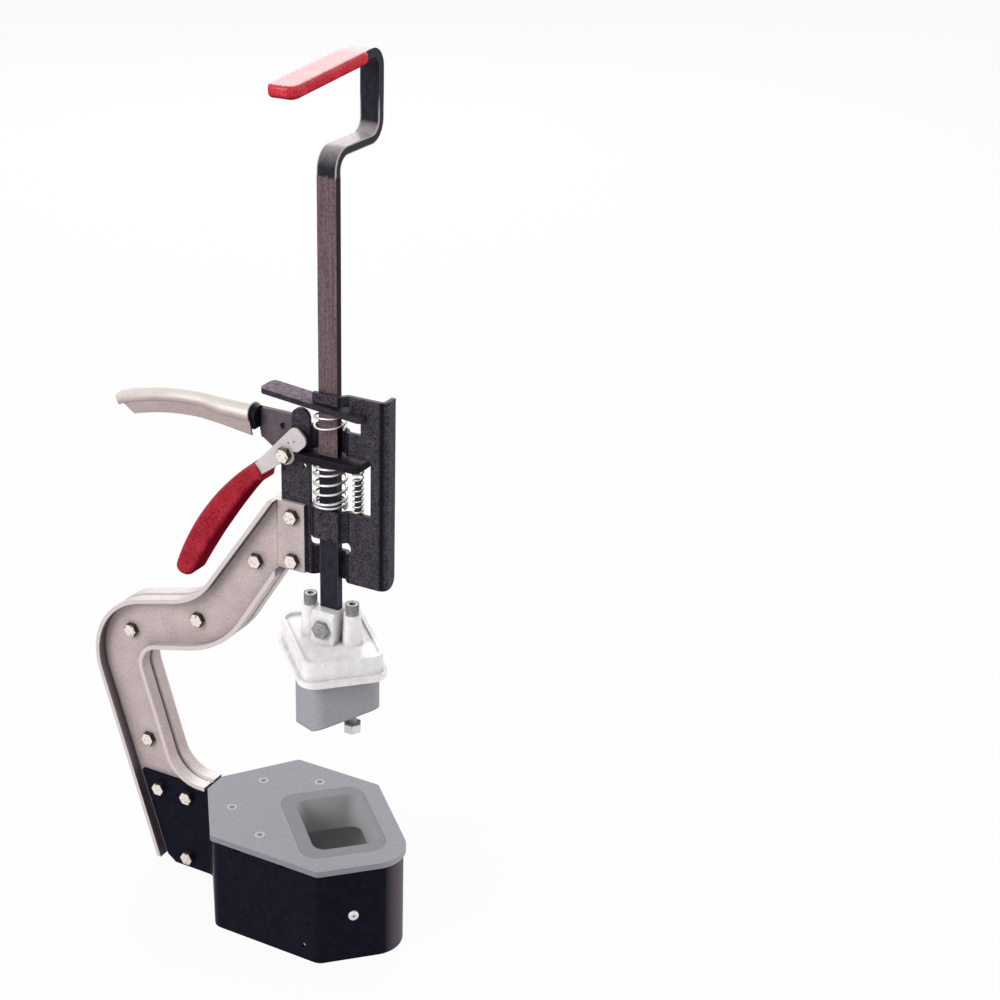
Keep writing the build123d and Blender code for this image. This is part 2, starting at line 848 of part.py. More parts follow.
# Punch, its lower face sheared so that it bites from one side
with BuildPart() as punch:
    with BuildSketch(Plane.XY.offset(holder_low)):
        with Locations((shift_x, shift_y)):
            RectangleRounded(punch_long, punch_short, punch_radius, rotation=seat_turn)
    extrude(amount=-(holder_low - shear_height + punch_long))
    shear_fall = sin(radians(shear_angle))
    shear = Plane(
        origin=(0, 0, shear_height),
        x_dir=(-sin(radians(shear_turn)), cos(radians(shear_turn)), 0),
        z_dir=(
            -shear_fall * cos(radians(shear_turn)),
            -shear_fall * sin(radians(shear_turn)),
            cos(radians(shear_angle)),
        ),
    )
    split(bisect_by=shear, keep=Keep.TOP)
    with BuildSketch(Plane.XY.offset(holder_low)):
        with Locations(*tower_spots):
            Circle(punch_bolt_radius + slip)
    extrude(amount=-(holder_low - punch_bolt_low), mode=Mode.SUBTRACT)
    with BuildSketch(Plane.XY.offset(punch_nut_low + punch_nut)):
        with Locations(*tower_spots):
            Circle(nut_pocket)
    extrude(amount=-punch_long, mode=Mode.SUBTRACT)

with BuildPart() as punch_bolts:
    with BuildSketch(Plane.XY.offset(tower_high)):
        with Locations(*tower_spots):
            Circle(punch_head_radius)
    extrude(amount=punch_head)
    with BuildSketch(Plane.XY.offset(tower_high + punch_head)):
        with Locations(*tower_spots):
            RegularPolygon(punch_head_radius / 2, 6, major_radius=False)
    extrude(amount=-punch_head / 2, mode=Mode.SUBTRACT)
    with BuildSketch(Plane.XY.offset(punch_bolt_low)):
        with Locations(*tower_spots):
            Circle(punch_bolt_radius)
    extrude(amount=tower_high - punch_bolt_low)

with BuildPart() as punch_nuts:
    with BuildSketch(Plane.XY.offset(punch_nut_low)):
        with Locations(*tower_spots):
            RegularPolygon(punch_nut_flats / 2, 6, major_radius=False)
            Circle(punch_bolt_radius + slip / 2, mode=Mode.SUBTRACT)
    extrude(amount=punch_nut)

# Handle arm, on the far face of the head plate
with BuildPart() as handle_arm:
    core_end = shell_root + core_proud
    tongue_low = crown_top - socket_crown - core_drop + past
    arm_end = shell_root - core_grip / 2
    arm_high = crown_top - shell_gauge - past
    prong_clear = drive_left - guide_gap - past
    with BuildSketch(Plane.XZ.offset(-head_half)):
        with BuildLine():
            FilletPolyline(
                (arm_end, arm_high - past),
                (core_end - past, arm_high - past),
                (core_end, arm_high),
                (-column_edge - past, arm_high),
                (-column_edge - past, drive_top + 2 * past),
                (prong_clear, drive_top + 2 * past),
                (prong_clear, pivot_z - pivot_boss),
                (pivot_x - pivot_boss, pivot_z - pivot_boss),
                (core_end + knee_run, arm_low),
                (core_end, arm_low),
                (core_end - past, tongue_low),
                (arm_end, tongue_low),
                radius=[0, 0, 0, pivot_boss, 0, 0, pivot_boss / 2, pivot_boss, past, 0, 0, 0],
                close=True,
            )
        make_face()
    extrude(amount=-arm_gauge)
    cross_holes([(pivot_x, pivot_z)], bolt_hole / 2, arm_face + past)
    with BuildSketch(Plane.XZ.offset(-head_half)):
        with Locations((pivot_x - arm_hole_back, pivot_z + arm_hole_rise)):
            Circle(arm_hole_radius)
    extrude(amount=-arm_hole_deep, mode=Mode.SUBTRACT)


def shell_section(crown, drop, inset):
    # Cross-section of the handle under its top line: a half-round crown on two flanks set in at a crease
    outer = crown - inset
    flank = outer - flank_inset
    foot = -crown - drop
    with BuildLine() as section:
        Polyline((-outer, -crown), (-flank, -crown - flank_inset), (-flank, foot))
        Line((-flank, foot), (flank, foot))
        Polyline((flank, foot), (flank, -crown - flank_inset), (outer, -crown))
        RadiusArc((outer, -crown), (-outer, -crown), -outer)
    return section.line.edges()


def across_handle(x, lean):
    # Plane across the handle where its top line passes x, leaning back from the upright
    run = max(shell_waist - x, 0)
    fall = shell_curve - sqrt(shell_curve ** 2 - run ** 2)
    return Plane(
        origin=(x, 0, crown_top - fall),
        x_dir=(0, 1, 0),
        z_dir=(cos(radians(lean)), 0, sin(radians(lean))),
    )


def shell_body(inset, extra, short):
    # The handle as a solid, set in from its outer face, its foot let down and its tip cut short
    root_x = shell_root - root_crown * tan(radians(root_lean))
    stations = [
        (root_x, root_lean, root_crown, root_flank),
        (socket_end, 0, socket_crown, socket_flank),
        (shell_waist, 0, grip_crown, grip_flank),
    ]
    full_turn = shell_turn - degrees(short / shell_curve)
    for share in (1 / 3, 2 / 3, 1):
        turn = full_turn * share
        stations.append((shell_waist - shell_curve * sin(radians(turn)), turn, grip_crown, grip_flank))
    faces = []
    for x, lean, crown, drop in stations:
        with BuildSketch(across_handle(x, lean)) as face:
            make_face(shell_section(crown, drop + extra, inset))
        faces.append(face.sketch)
    with BuildPart() as body:
        loft(faces[:3], ruled=True)
        loft(faces[2:])
    return body.part


# Handle shell
with BuildPart() as handle_shell:
    add(shell_body(0, 0, 0))
    tip_lean = radians(shell_turn)
    tip = across_handle(shell_waist - shell_curve * sin(tip_lean), shell_turn).origin
    along = (cos(tip_lean), 0, sin(tip_lean))
    across = (-sin(tip_lean), 0, cos(tip_lean))
    with BuildSketch(Plane(origin=tip, x_dir=along, z_dir=(0, -1, 0))):
        with Locations((-past, past)):
            Rectangle(tip_round + past, tip_round + past, align=(Align.MIN, Align.MAX))
        with Locations((tip_round, -tip_round)):
            Circle(tip_round, mode=Mode.SUBTRACT)
    extrude(amount=2 * grip_crown, both=True, mode=Mode.SUBTRACT)
    with BuildSketch(Plane(origin=tip, x_dir=along, z_dir=across)):
        with Locations((-past, 0)):
            Rectangle(tip_round + past, 4 * grip_crown, align=(Align.MIN, Align.CENTER))
        RectangleRounded(
            4 * tip_round,
            2 * grip_crown,
            tip_round,
            align=(Align.MIN, Align.CENTER),
            mode=Mode.SUBTRACT,
        )
    extrude(amount=2 * (grip_crown + grip_flank), both=True, mode=Mode.SUBTRACT)
    add(shell_body(shell_gauge, past, tip_wall), mode=Mode.SUBTRACT)
    with BuildSketch(Plane(origin=tip, x_dir=along, z_dir=(0, -1, 0))):
        with BuildLine():
            Polyline(
                (-past, -grip_crown - flank_inset),
                (tip_slant, -grip_crown - flank_inset),
                (2 * tip_slant, -grip_crown - grip_flank - past),
                (-past, -grip_crown - grip_flank - past),
                close=True,
            )
        make_face()
    extrude(amount=2 * grip_crown, both=True, mode=Mode.SUBTRACT)

# Handle core, the plug that joins arm and shell
with BuildPart() as handle_core:
    with BuildSketch(Plane(origin=(core_end, 0, crown_top), x_dir=(0, 1, 0), z_dir=(1, 0, 0))):
        make_face(shell_section(socket_crown, core_drop, shell_gauge + slip))
    extrude(amount=-core_grip - core_proud)
    add(handle_arm.part, mode=Mode.SUBTRACT)

# Trigger grip outline and lever outline, in the plane of the squeeze
with BuildSketch(squeeze_plane) as grip_outline:
    with BuildLine():
        outer = ThreePointArc(*grip_outer)
        inner = ThreePointArc(*grip_inner)
        Line(outer @ 1, inner @ 0)
        Line(inner @ 1, outer @ 0)
    make_face()
    fillet(grip_outline.vertices().sort_by(Axis.Y)[:2], grip_tip)

with BuildSketch(squeeze_plane) as lever_outline:
    add(grip_outline.sketch_local)
    offset(amount=-vinyl)
    with Locations(grip_outer[-1]):
        Circle(tang_short, mode=Mode.SUBTRACT)
    nose_rest = drive_top + nose_gap - pivot_z
    with BuildLine():
        FilletPolyline(
            *lever_heel,
            *lever_head,
            (lever_nose, nose_rest),
            (0, nose_rest),
            lever_waist,
            radius=[0, 0, 0, lever_end_radius, lever_end_radius, lever_nose_radius, 0, 0],
            close=True,
        )
    make_face()
    Circle(pivot_boss)

# Trigger lever, a channel open towards the handle
with BuildPart() as trigger_lever:
    with BuildSketch(squeeze_plane.offset(cheek_near)):
        add(lever_outline.sketch_local)
    extrude(amount=cheek_gauge)
    mirror(about=Plane.XZ)
    with BuildSketch(squeeze_plane):
        add(lever_outline.sketch_local)
        back = Vector(-1, 1) * (cheek_gauge / sqrt(2))
        add(lever_outline.sketch_local.moved(Location((back.X, back.Y))), mode=Mode.SUBTRACT)
        with Locations((grip_inner[-1][0] - past, 0)):
            Rectangle(head_high, head_high, align=(Align.MIN, Align.CENTER), mode=Mode.SUBTRACT)
    extrude(amount=cheek_near, both=True)
    cross_holes([(pivot_x, pivot_z)], bolt_shank / 2 + slip / 2, cheek_face + past)

# Trigger grip, a sleeve over the tang of the lever
with BuildPart() as trigger_grip:
    with BuildSketch(squeeze_plane):
        add(grip_outline.sketch_local)
    extrude(amount=trigger_half, both=True)
    fillet(trigger_grip.faces().filter_by(Axis.Y).edges().filter_by(GeomType.CIRCLE), trigger_edge)
    with BuildSketch(squeeze_plane):
        add(lever_outline.sketch_local)
    extrude(amount=cheek_face, both=True, mode=Mode.SUBTRACT)

pivot_bolt = hex_bolts([(pivot_x, pivot_z)], cheek_face, cheek_face)
pivot_nut = hex_nuts([(pivot_x, pivot_z)], cheek_face)

with BuildPart() as pivot_spacers:
    for face, reach in [(head_half, cheek_near - head_half), (-cheek_near, cheek_near - arm_face)]:
        with BuildSketch(Plane.XZ.offset(face)):
            with Locations((pivot_x, pivot_z)):
                Circle(spacer_radius)
                Circle(bolt_hole / 2, mode=Mode.SUBTRACT)
        extrude(amount=reach)

# Drive plate, forked round the left column of the head
with BuildPart() as drive_plate:
    with BuildSketch(Plane.XY.offset(drive_low)):
        with Locations(((drive_left + drive_right) / 2, 0)):
            RectangleRounded(drive_right - drive_left, 2 * drive_half, drive_corner)
        Rectangle(2 * ram_slot_half, ram_thick + 2 * guide_gap, mode=Mode.SUBTRACT)
        with Locations((drive_left, 0)):
            Rectangle(
                -column_edge + guide_gap - drive_left,
                head_gauge + 2 * guide_gap,
                align=(Align.MIN, Align.CENTER),
                mode=Mode.SUBTRACT,
            )
    extrude(amount=drive_thick)

drive_spring = spring(
    "drive_spring", 0, drive_coil, drive_wire, drive_turns, drive_closed, window_low, drive_low
)
aux_spring = spring(
    "aux_spring", aux_x, aux_coil, aux_wire, aux_turns, aux_closed, window_low, drive_low
)

# Release plate, tilted so that it grips the bar
with BuildPart() as release_plate:
    tilted = Plane(
        origin=(release_pivot_x, 0, release_pivot_z),
        x_dir=(cos(radians(release_tilt)), 0, -sin(radians(release_tilt))),
        z_dir=(sin(radians(release_tilt)), 0, cos(radians(release_tilt))),
    )
    with BuildSketch(tilted.offset(-release_thick / 2)):
        left = release_left - release_pivot_x
        right = release_right - release_pivot_x
        with Locations(((left + right) / 2, 0)):
            RectangleRounded(right - left, 2 * release_half, release_corner)
        with Locations((-release_pivot_x, 0)):
            Rectangle(2 * (ram_slot_half + tilt_room), ram_thick + 2 * guide_gap, mode=Mode.SUBTRACT)
        with Locations((right, 0)):
            Rectangle(
                release_right - slot_right + guide_gap + 2 * tilt_room,
                head_gauge + 2 * guide_gap,
                align=(Align.MAX, Align.CENTER),
                mode=Mode.SUBTRACT,
            )
    extrude(amount=release_thick)

release_spring = spring(
    "release_spring",
    0,
    release_coil,
    release_wire,
    release_turns,
    release_closed,
    slot_low,
    release_spring_high,
)

os.makedirs("parts", exist_ok=True)
pieces = {
    "head_plate": head_plate.part,
    "neck_plate_right": neck_plate_right.part,
    "neck_plate_left": neck_plate_left.part,
    "neck_bolts": neck_bolts,
    "neck_nuts": neck_nuts,
    "tab_bolts": tab_bolts,
    "tab_nuts": tab_nuts,
    "base_bolts": base_bolts,
    "base_nuts": base_nuts,
    "die_box": die_box.part,
    "die_plate": die_plate.part,
    "die_insert": die_insert.part,
    "die_bolster": die_bolster.part,
    "die_screws": die_screws.part,
    "box_screws": box_screws.part,
    "ram_bar": ram_bar.part,
    "top_grip": top_grip.part,
    "punch_holder": punch_holder.part,
    "cross_bolt": cross_bolt,
    "cross_nut": cross_nut,
    "punch": punch.part,
    "punch_bolts": punch_bolts.part,
    "punch_nuts": punch_nuts.part,
    "handle_arm": handle_arm.part,
    "handle_shell": handle_shell.part,
    "handle_core": handle_core.part,
    "trigger_lever": trigger_lever.part,
    "trigger_grip": trigger_grip.part,
    "pivot_bolt": pivot_bolt,
    "pivot_nut": pivot_nut,
    "pivot_spacers": pivot_spacers.part,
    "drive_plate": drive_plate.part,
    "drive_spring": drive_spring,
    "aux_spring": aux_spring,
    "release_plate": release_plate.part,
    "release_spring": release_spring,
}
for name, piece in pieces.items():
    piece.label = name
    export_step(piece, f"parts/{name}.step")
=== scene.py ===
import math

import bmesh
import bpy
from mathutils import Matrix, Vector, noise


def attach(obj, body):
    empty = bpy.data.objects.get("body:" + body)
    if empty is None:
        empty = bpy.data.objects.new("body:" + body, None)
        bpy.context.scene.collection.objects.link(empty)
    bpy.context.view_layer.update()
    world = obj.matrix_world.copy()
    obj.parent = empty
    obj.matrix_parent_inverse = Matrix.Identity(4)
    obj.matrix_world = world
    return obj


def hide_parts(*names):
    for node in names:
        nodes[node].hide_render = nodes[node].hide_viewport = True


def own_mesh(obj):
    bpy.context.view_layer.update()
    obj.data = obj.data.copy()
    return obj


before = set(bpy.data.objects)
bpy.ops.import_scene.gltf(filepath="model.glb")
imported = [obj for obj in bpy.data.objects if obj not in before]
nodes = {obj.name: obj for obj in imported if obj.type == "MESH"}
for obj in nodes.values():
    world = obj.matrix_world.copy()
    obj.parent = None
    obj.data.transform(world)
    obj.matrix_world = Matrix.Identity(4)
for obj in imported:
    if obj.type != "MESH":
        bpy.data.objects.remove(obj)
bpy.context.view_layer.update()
print("frame loaded:", len(nodes), "nodes")


# Small helpers for node trees

def addNode(tree, kind, **settings):
    node = tree.nodes.new(kind)
    for name, value in settings.items():
        setattr(node, name, value)
    return node


def plug(tree, socket, value):
    # a socket is linked, anything else is set as the value
    if isinstance(value, bpy.types.NodeSocket):
        tree.links.new(value, socket)
    elif value is not None:
        socket.default_value = value


def feed(tree, node, values):
    for label, value in values.items():
        plug(tree, node.inputs[label], value)
    return node.outputs


def fed(tree, kind, values, **settings):
    return feed(tree, addNode(tree, kind, **settings), values)


def calc(tree, operation, a, b=None, clamp=False):
    return fed(tree, "ShaderNodeMath", {0: a, 1: b}, operation=operation, use_clamp=clamp)[0]


def times(tree, a, b, clamp=False):
    return calc(tree, "MULTIPLY", a, b, clamp)


def vectorMath(tree, operation, a, b):
    return fed(tree, "ShaderNodeVectorMath", {0: a, 1: b}, operation=operation)


def mixColour(tree, factor, a, b):
    return fed(tree, "ShaderNodeMix", {0: factor, 6: a, 7: b}, data_type="RGBA")[2]


def spread(tree, value, fromLow, fromHigh, toLow=0.0, toHigh=1.0):
    numbers = (value, fromLow, fromHigh, toLow, toHigh)
    return fed(tree, "ShaderNodeMapRange", dict(enumerate(numbers)), clamp=True)[0]


def ownPlace(tree, kind):
    # the Object place or the Normal of a point, in the object's own axes
    return addNode(tree, "ShaderNodeTexCoord").outputs[kind]


def axesOf(tree, kind):
    return fed(tree, "ShaderNodeSeparateXYZ", {0: ownPlace(tree, kind)})


def objectPlace(tree, scale=(1, 1, 1)):
    values = {"Vector": ownPlace(tree, "Object"), "Scale": scale}
    return fed(tree, "ShaderNodeMapping", values)[0]


def noiseAt(tree, place, scale, detail, rough):
    values = {"Vector": place, "Scale": scale, "Detail": detail, "Roughness": rough}
    return fed(tree, "ShaderNodeTexNoise", values)["Fac"]


def shaderGroup(name, inputs, outputs):
    tree = bpy.data.node_groups.new(name, "ShaderNodeTree")
    for label, value in inputs.items():
        socket = tree.interface.new_socket(
            name=label, in_out="INPUT", socket_type="NodeSocketFloat")
        socket.default_value = value
    for label, kind in outputs.items():
        tree.interface.new_socket(name=label, in_out="OUTPUT", socket_type="NodeSocket" + kind)
    return tree, addNode(tree, "NodeGroupInput").outputs, addNode(tree, "NodeGroupOutput")


# Shared effects

def makeEdgeWearAndHighlight():
    # paint rubbed off and a painted highlight where an edge stands proud, and a rounded normal along
    # every edge
    tree, given, out = shaderGroup(
        "edgeWearAndHighlight", {"Radius": 0.0008, "Gain": 2.0, "Patch Scale": 180.0, "Patch": 0.6},
        {"Wear And Highlight": "Float", "Normal": "Vector"},
    )
    rounded = fed(tree, "ShaderNodeBevel", {"Radius": given["Radius"]}, samples=8)[0]
    flat = addNode(tree, "ShaderNodeNewGeometry").outputs["Normal"]
    along = vectorMath(tree, "DOT_PRODUCT", rounded, flat)["Value"]
    raised = times(tree, calc(tree, "SUBTRACT", 1.0, along), given["Gain"])
    patches = noiseAt(tree, objectPlace(tree), given["Patch Scale"], detail=4.0, rough=0.6)
    wornAndLit = calc(tree, "SUBTRACT", raised, times(tree, patches, given["Patch"]), True)
    feed(tree, out, {"Wear And Highlight": wornAndLit, "Normal": rounded})
    return tree


def makeGrain():
    # fine and coarse unevenness of a finish
    tree, given, out = shaderGroup(
        "finishGrain", {"Fine Scale": 900.0, "Coarse Scale": 35.0, "Share": 0.5},
        {"Tone": "Float", "Height": "Float"},
    )
    place = objectPlace(tree)
    fine = noiseAt(tree, place, given["Fine Scale"], detail=2.0, rough=0.5)
    coarse = noiseAt(tree, place, given["Coarse Scale"], detail=4.0, rough=0.6)
    both = fed(tree, "ShaderNodeMix", {0: given["Share"], 2: fine, 3: coarse}, data_type="FLOAT")
    feed(tree, out, {"Tone": both[0], "Height": fine})
    return tree


def makeSoilAndShade():
    # workshop dust and oil in corners together with painted shade there, and how shut in a place is
    tree, given, out = shaderGroup(
        "cornerSoilAndShade", {"Reach": 0.01, "Amount": 0.7, "Scale": 120.0},
        {"Soil And Shade": "Float", "Shut": "Float"},
    )
    near = fed(tree, "ShaderNodeAmbientOcclusion", {"Distance": given["Reach"]}, samples=8)
    shut = calc(tree, "SUBTRACT", 1.0, near["AO"])
    spots = noiseAt(tree, objectPlace(tree), given["Scale"], detail=4.0, rough=0.65)
    soilAndShade = times(tree, times(tree, shut, spots), given["Amount"], True)
    feed(tree, out, {"Soil And Shade": soilAndShade, "Shut": shut})
    return tree


def makeFaceTurn():
    # which way a face looks, in the object's own axes
    kinds = {label: "Float" for label in ("Across", "Side", "Up", "Down")}
    tree, _, out = shaderGroup("faceTurn", {}, kinds)
    look = axesOf(tree, "Normal")
    feed(tree, out, {
        "Across": calc(tree, "ABSOLUTE", look["X"]),
        "Side": calc(tree, "ABSOLUTE", look["Y"]),
        "Up": calc(tree, "MAXIMUM", look["Z"], 0.0),
        "Down": calc(tree, "MAXIMUM", times(tree, look["Z"], -1.0), 0.0),
    })
    return tree


edgeWearAndHighlight, finishGrain = makeEdgeWearAndHighlight(), makeGrain()
cornerSoilAndShade, faceTurn = makeSoilAndShade(), makeFaceTurn()


def useGroup(tree, group, look, labels):
    # a shared effect with a look's own values
    values = {label: look[key] for label, key in labels.items()}
    return fed(tree, "ShaderNodeGroup", values, node_tree=group)


def grainOf(tree, look):
    labels = {"Fine Scale": "fine", "Coarse Scale": "coarse", "Share": "share"}
    return useGroup(tree, finishGrain, look, labels)


def wearAndHighlightOf(tree, look):
    labels = {"Radius": "round", "Gain": "wearAndHighlight", "Patch Scale": "patch", "Patch": "keep"}
    return useGroup(tree, edgeWearAndHighlight, look, labels)


def soilAndShadeOf(tree, look):
    labels = {"Reach": "reach", "Amount": "dirtAndShade", "Scale": "soilShadeScale"}
    return useGroup(tree, cornerSoilAndShade, look, labels)


def turnOf(tree):
    return useGroup(tree, faceTurn, {}, {})


def newMaterial(name, metallic, specular):
    material = bpy.data.materials.new(name)
    material.use_nodes = True
    tree = material.node_tree
    shader = tree.nodes["Principled BSDF"]
    feed(tree, shader, {"Metallic": metallic, "Specular IOR Level": specular})
    return material, tree, shader


def bumpFrom(tree, look, height, normal=None):
    values = {"Height": height, "Normal": normal, "Distance": look["peel"]}
    return fed(tree, "ShaderNodeBump", {**values, "Strength": look["relief"]})[0]


def finishSurface(tree, shader, look, colour, soilAndShade, tone, height):
    # soil and painted shade in corners, bare metal and painted highlight on edges, then gloss and
    # relief
    wearAndHighlight = wearAndHighlightOf(tree, look)
    colour = mixColour(tree, soilAndShade["Soil And Shade"], colour, look["soilAndShade"])
    colour = mixColour(tree, wearAndHighlight["Wear And Highlight"], colour, look["bareAndHighlight"])
    feed(tree, shader, {
        "Base Color": colour,
        "Roughness": spread(tree, tone, *look["gloss"], look["smooth"], look["rough"]),
        "Normal": bumpFrom(tree, look, height, wearAndHighlight["Normal"]),
    })


def enamel(name, look):
    # paint over steel, where a look has them: lighter tops that are rubbed paint and a painted
    # highlight, a painted highlight on rims and flanks, painted shade on bends and in hollows, and an
    # inside painted pale as light against its shade
    material, tree, shader = newMaterial(name, look["metallic"], look["specular"])
    grain, soilAndShade, turn = grainOf(tree, look), soilAndShadeOf(tree, look), turnOf(tree)
    tone = spread(tree, grain["Tone"], *look["tone"])
    colour = mixColour(tree, tone, look["dark"], look["light"])
    # crown: lighter faces that look up, rubbed paint and a painted highlight
    if "crown" in look:
        upper = spread(tree, turn["Up"], *look["crownUp"])
        patchy = spread(tree, grain["Tone"], *look["crownTone"], look["crownLeast"], 1.0)
        wornAndLitTop = times(tree, upper, patchy)
        # crownEnd fades the lighter top out along x, so the end under the strap stays dark as painted
        # shade
        if "crownEnd" in look:
            along = axesOf(tree, "Object")["X"]
            wornAndLitTop = times(tree, wornAndLitTop, spread(tree, along, *look["crownEnd"], 1.0, 0.0))
        colour = mixColour(tree, wornAndLitTop, colour, look["crown"])
    # rim: a painted highlight on the flange edges, the faces farthest out along y
    if "rim" in look:
        depth = calc(tree, "ABSOLUTE", axesOf(tree, "Object")["Y"])
        colour = mixColour(tree, spread(tree, depth, *look["rimDepth"]), colour, look["rim"])
    # bend: painted shade on faces partly turned along x, across the bend
    if "bend" in look:
        begun = spread(tree, turn["Across"], *look["bendIn"])
        over = spread(tree, turn["Across"], *look["bendOut"], 1.0, 0.0)
        colour = mixColour(tree, times(tree, begun, over), colour, look["bend"])
    # flank: a painted highlight on the faces that look along x
    if "flank" in look:
        aside = spread(tree, turn["Across"], *look["flankTurn"])
        colour = mixColour(tree, aside, colour, look["flank"])
    # inner: the inside painted pale, as light against the shade in it
    if "inner" in look:
        inside = facingIn(tree, look["innerMiddle"], look["innerReach"])
        colour = mixColour(tree, inside, colour, look["inner"])
    # painted shade on faces in hollows that look along x and down
    if "recessShade" in look:
        inward = times(tree, calc(tree, "ADD", turn["Across"], turn["Down"]), soilAndShade["Shut"])
        sunk = times(tree, inward, look["recessShadeGain"], True)
        colour = mixColour(tree, sunk, colour, look["recessShade"])
    finishSurface(tree, shader, look, colour, soilAndShade, grain["Tone"], grain["Height"])
    return material


def facingIn(tree, middle, reach):
    # 1 on faces that look towards an upright axis, such as the inside of a box
    away = vectorMath(tree, "SUBTRACT", ownPlace(tree, "Object"), middle)[0]
    level = vectorMath(tree, "MULTIPLY", away, (1, 1, 0))[0]
    towards = vectorMath(tree, "DOT_PRODUCT", level, ownPlace(tree, "Normal"))["Value"]
    return spread(tree, towards, *reach)


def dress(material, names):
    for name in names:
        nodes[name].material_slots[0].material = material


# Finishes of the painted pieces; a pair is where a blend starts and where it is full
blackLook = dict(
    metallic=0.0, specular=0.07, fine=1100.0, coarse=150.0, share=0.4, tone=(0.36, 0.64),
    dark=(0.014, 0.013, 0.020, 1), light=(0.064, 0.054, 0.069, 1),
    # edges: rubbed paint with a painted highlight along them
    round=0.0007, wearAndHighlight=2.4, patch=260.0, keep=0.72, bareAndHighlight=(0.24, 0.21, 0.22, 1),
    reach=0.008, dirtAndShade=0.5, soilShadeScale=140.0, soilAndShade=(0.010, 0.009, 0.012, 1),
    gloss=(0.25, 0.75), smooth=0.34, rough=0.5, peel=0.0004, relief=0.35,
)
plateLook = dict(
    blackLook, fine=620.0, share=0.3, dark=(0.011, 0.010, 0.016, 1), light=(0.082, 0.070, 0.087, 1),
    # painted shade across the bend of the plate
    bend=(0.007, 0.006, 0.011, 1), bendIn=(0.04, 0.25), bendOut=(0.55, 0.8),
)
boxLook = dict(
    blackLook, specular=0.035, wearAndHighlight=1.6, dark=(0.002, 0.002, 0.008, 1), light=(0.010, 0.010, 0.020, 1),
    # a painted highlight on the faces that look along x
    smooth=0.3, rough=0.42, flank=(0.092, 0.074, 0.096, 1), flankTurn=(0.84, 0.99),
    # the inside painted pale, as light against its shade
    inner=(0.8, 0.795, 0.81, 1), innerMiddle=(-0.02, 0, 0), innerReach=(-0.034, -0.042),
)
coreLook = dict(
    blackLook, specular=0.05, dark=(0.003, 0.003, 0.008, 1), light=(0.010, 0.010, 0.016, 1),
)
driveLook = dict(
    blackLook, specular=0.02, wearAndHighlight=3.0, dark=(0.010, 0.008, 0.013, 1), light=(0.026, 0.021, 0.031, 1),
)
# lighter than the other black enamel: a painted sheen
armLook = dict(blackLook, dark=(0.080, 0.061, 0.075, 1), light=(0.160, 0.126, 0.153, 1))
releaseLook = dict(
    # a lighter top of rubbed paint with a painted sheen, kept off the end in painted shade under the
    # strap
    blackLook, specular=0.02, coarse=220.0, crown=(0.30, 0.215, 0.28, 1), crownUp=(0.8, 0.95),
    crownTone=(0.38, 0.6), crownLeast=0.1, crownEnd=(-0.016, -0.008),
)
silverLook = dict(
    blackLook, metallic=0.15, specular=0.4, fine=800.0, coarse=60.0, share=0.35,
    dark=(0.425, 0.34, 0.34, 1), light=(0.61, 0.50, 0.49, 1),
    # soil reaches round the bolts as dust with painted shade
    wearAndHighlight=1.8, keep=0.7, bareAndHighlight=(0.80, 0.76, 0.76, 1), reach=0.014, soilAndShade=(0.13, 0.11, 0.12, 1),
    # painted shade on the inner faces of the flanges
    recessShade=(0.075, 0.068, 0.085, 1), recessShadeGain=3.2,
    # a painted highlight on the flange edges
    rim=(0.65, 0.57, 0.56, 1), rimDepth=(0.0116, 0.0125), smooth=0.36,
    # a painted highlight on faces that look up
    crown=(0.76, 0.70, 0.69, 1), crownUp=(0.4, 0.95), crownTone=(0.38, 0.6), crownLeast=0.5,
)
shellLook = dict(
    silverLook, specular=0.45, dark=(0.35, 0.272, 0.272, 1), light=(0.45, 0.358, 0.353, 1), dirtAndShade=0.4,
    # a painted highlight on faces that look up
    crown=(0.74, 0.70, 0.65, 1), crownUp=(0.1, 0.75), crownLeast=0.8, recessShadeGain=1.5,
    smooth=0.28, rough=0.4,
)
painted = {
    "plateEnamel": (plateLook, ["head_plate"]),
    "boxEnamel": (boxLook, ["die_box"]),
    "coreEnamel": (coreLook, ["handle_core"]),
    "driveEnamel": (driveLook, ["drive_plate"]),
    "armEnamel": (armLook, ["handle_arm"]),
    "releaseEnamel": (releaseLook, ["release_plate"]),
    "silverEnamel": (silverLook, ["neck_plate_right", "neck_plate_left"]),
    "shellEnamel": (shellLook, ["handle_shell"]),
}
for name, (look, pieces) in painted.items():
    dress(enamel(name, look), pieces)
print("painted pieces dressed")


def bareSteel(name, look):
    # ground or plated metal: drawn lines, a second tone on some faces, specks and marks; the second
    # tone is painted shade on the flanks of bolts and nuts and on the spring coils, and painted light
    # on the walls of the die insert's hole
    material, tree, shader = newMaterial(name, look["metallic"], look["specular"])
    lines = noiseAt(tree, objectPlace(tree, look["draw"]), 1.0, detail=3.0, rough=0.6)
    grain, turn = grainOf(tree, look), turnOf(tree)
    tone = spread(tree, calc(tree, "ADD", lines, grain["Tone"]), *look["tone"])
    colour = mixColour(tree, tone, look["dark"], look["light"])
    for facing, limits in look["otherOn"].items():
        colour = mixColour(tree, spread(tree, turn[facing], *limits), colour, look["other"])
    if "specks" in look:
        dots = noiseAt(tree, objectPlace(tree), look["speckScale"], detail=2.0, rough=0.5)
        colour = mixColour(tree, spread(tree, dots, *look["speckTone"]), colour, look["specks"])
    if "marks" in look:
        colour = markedWith(tree, colour, look["marks"])
    finishSurface(tree, shader, look, colour, soilAndShadeOf(tree, look), lines, lines)
    return material


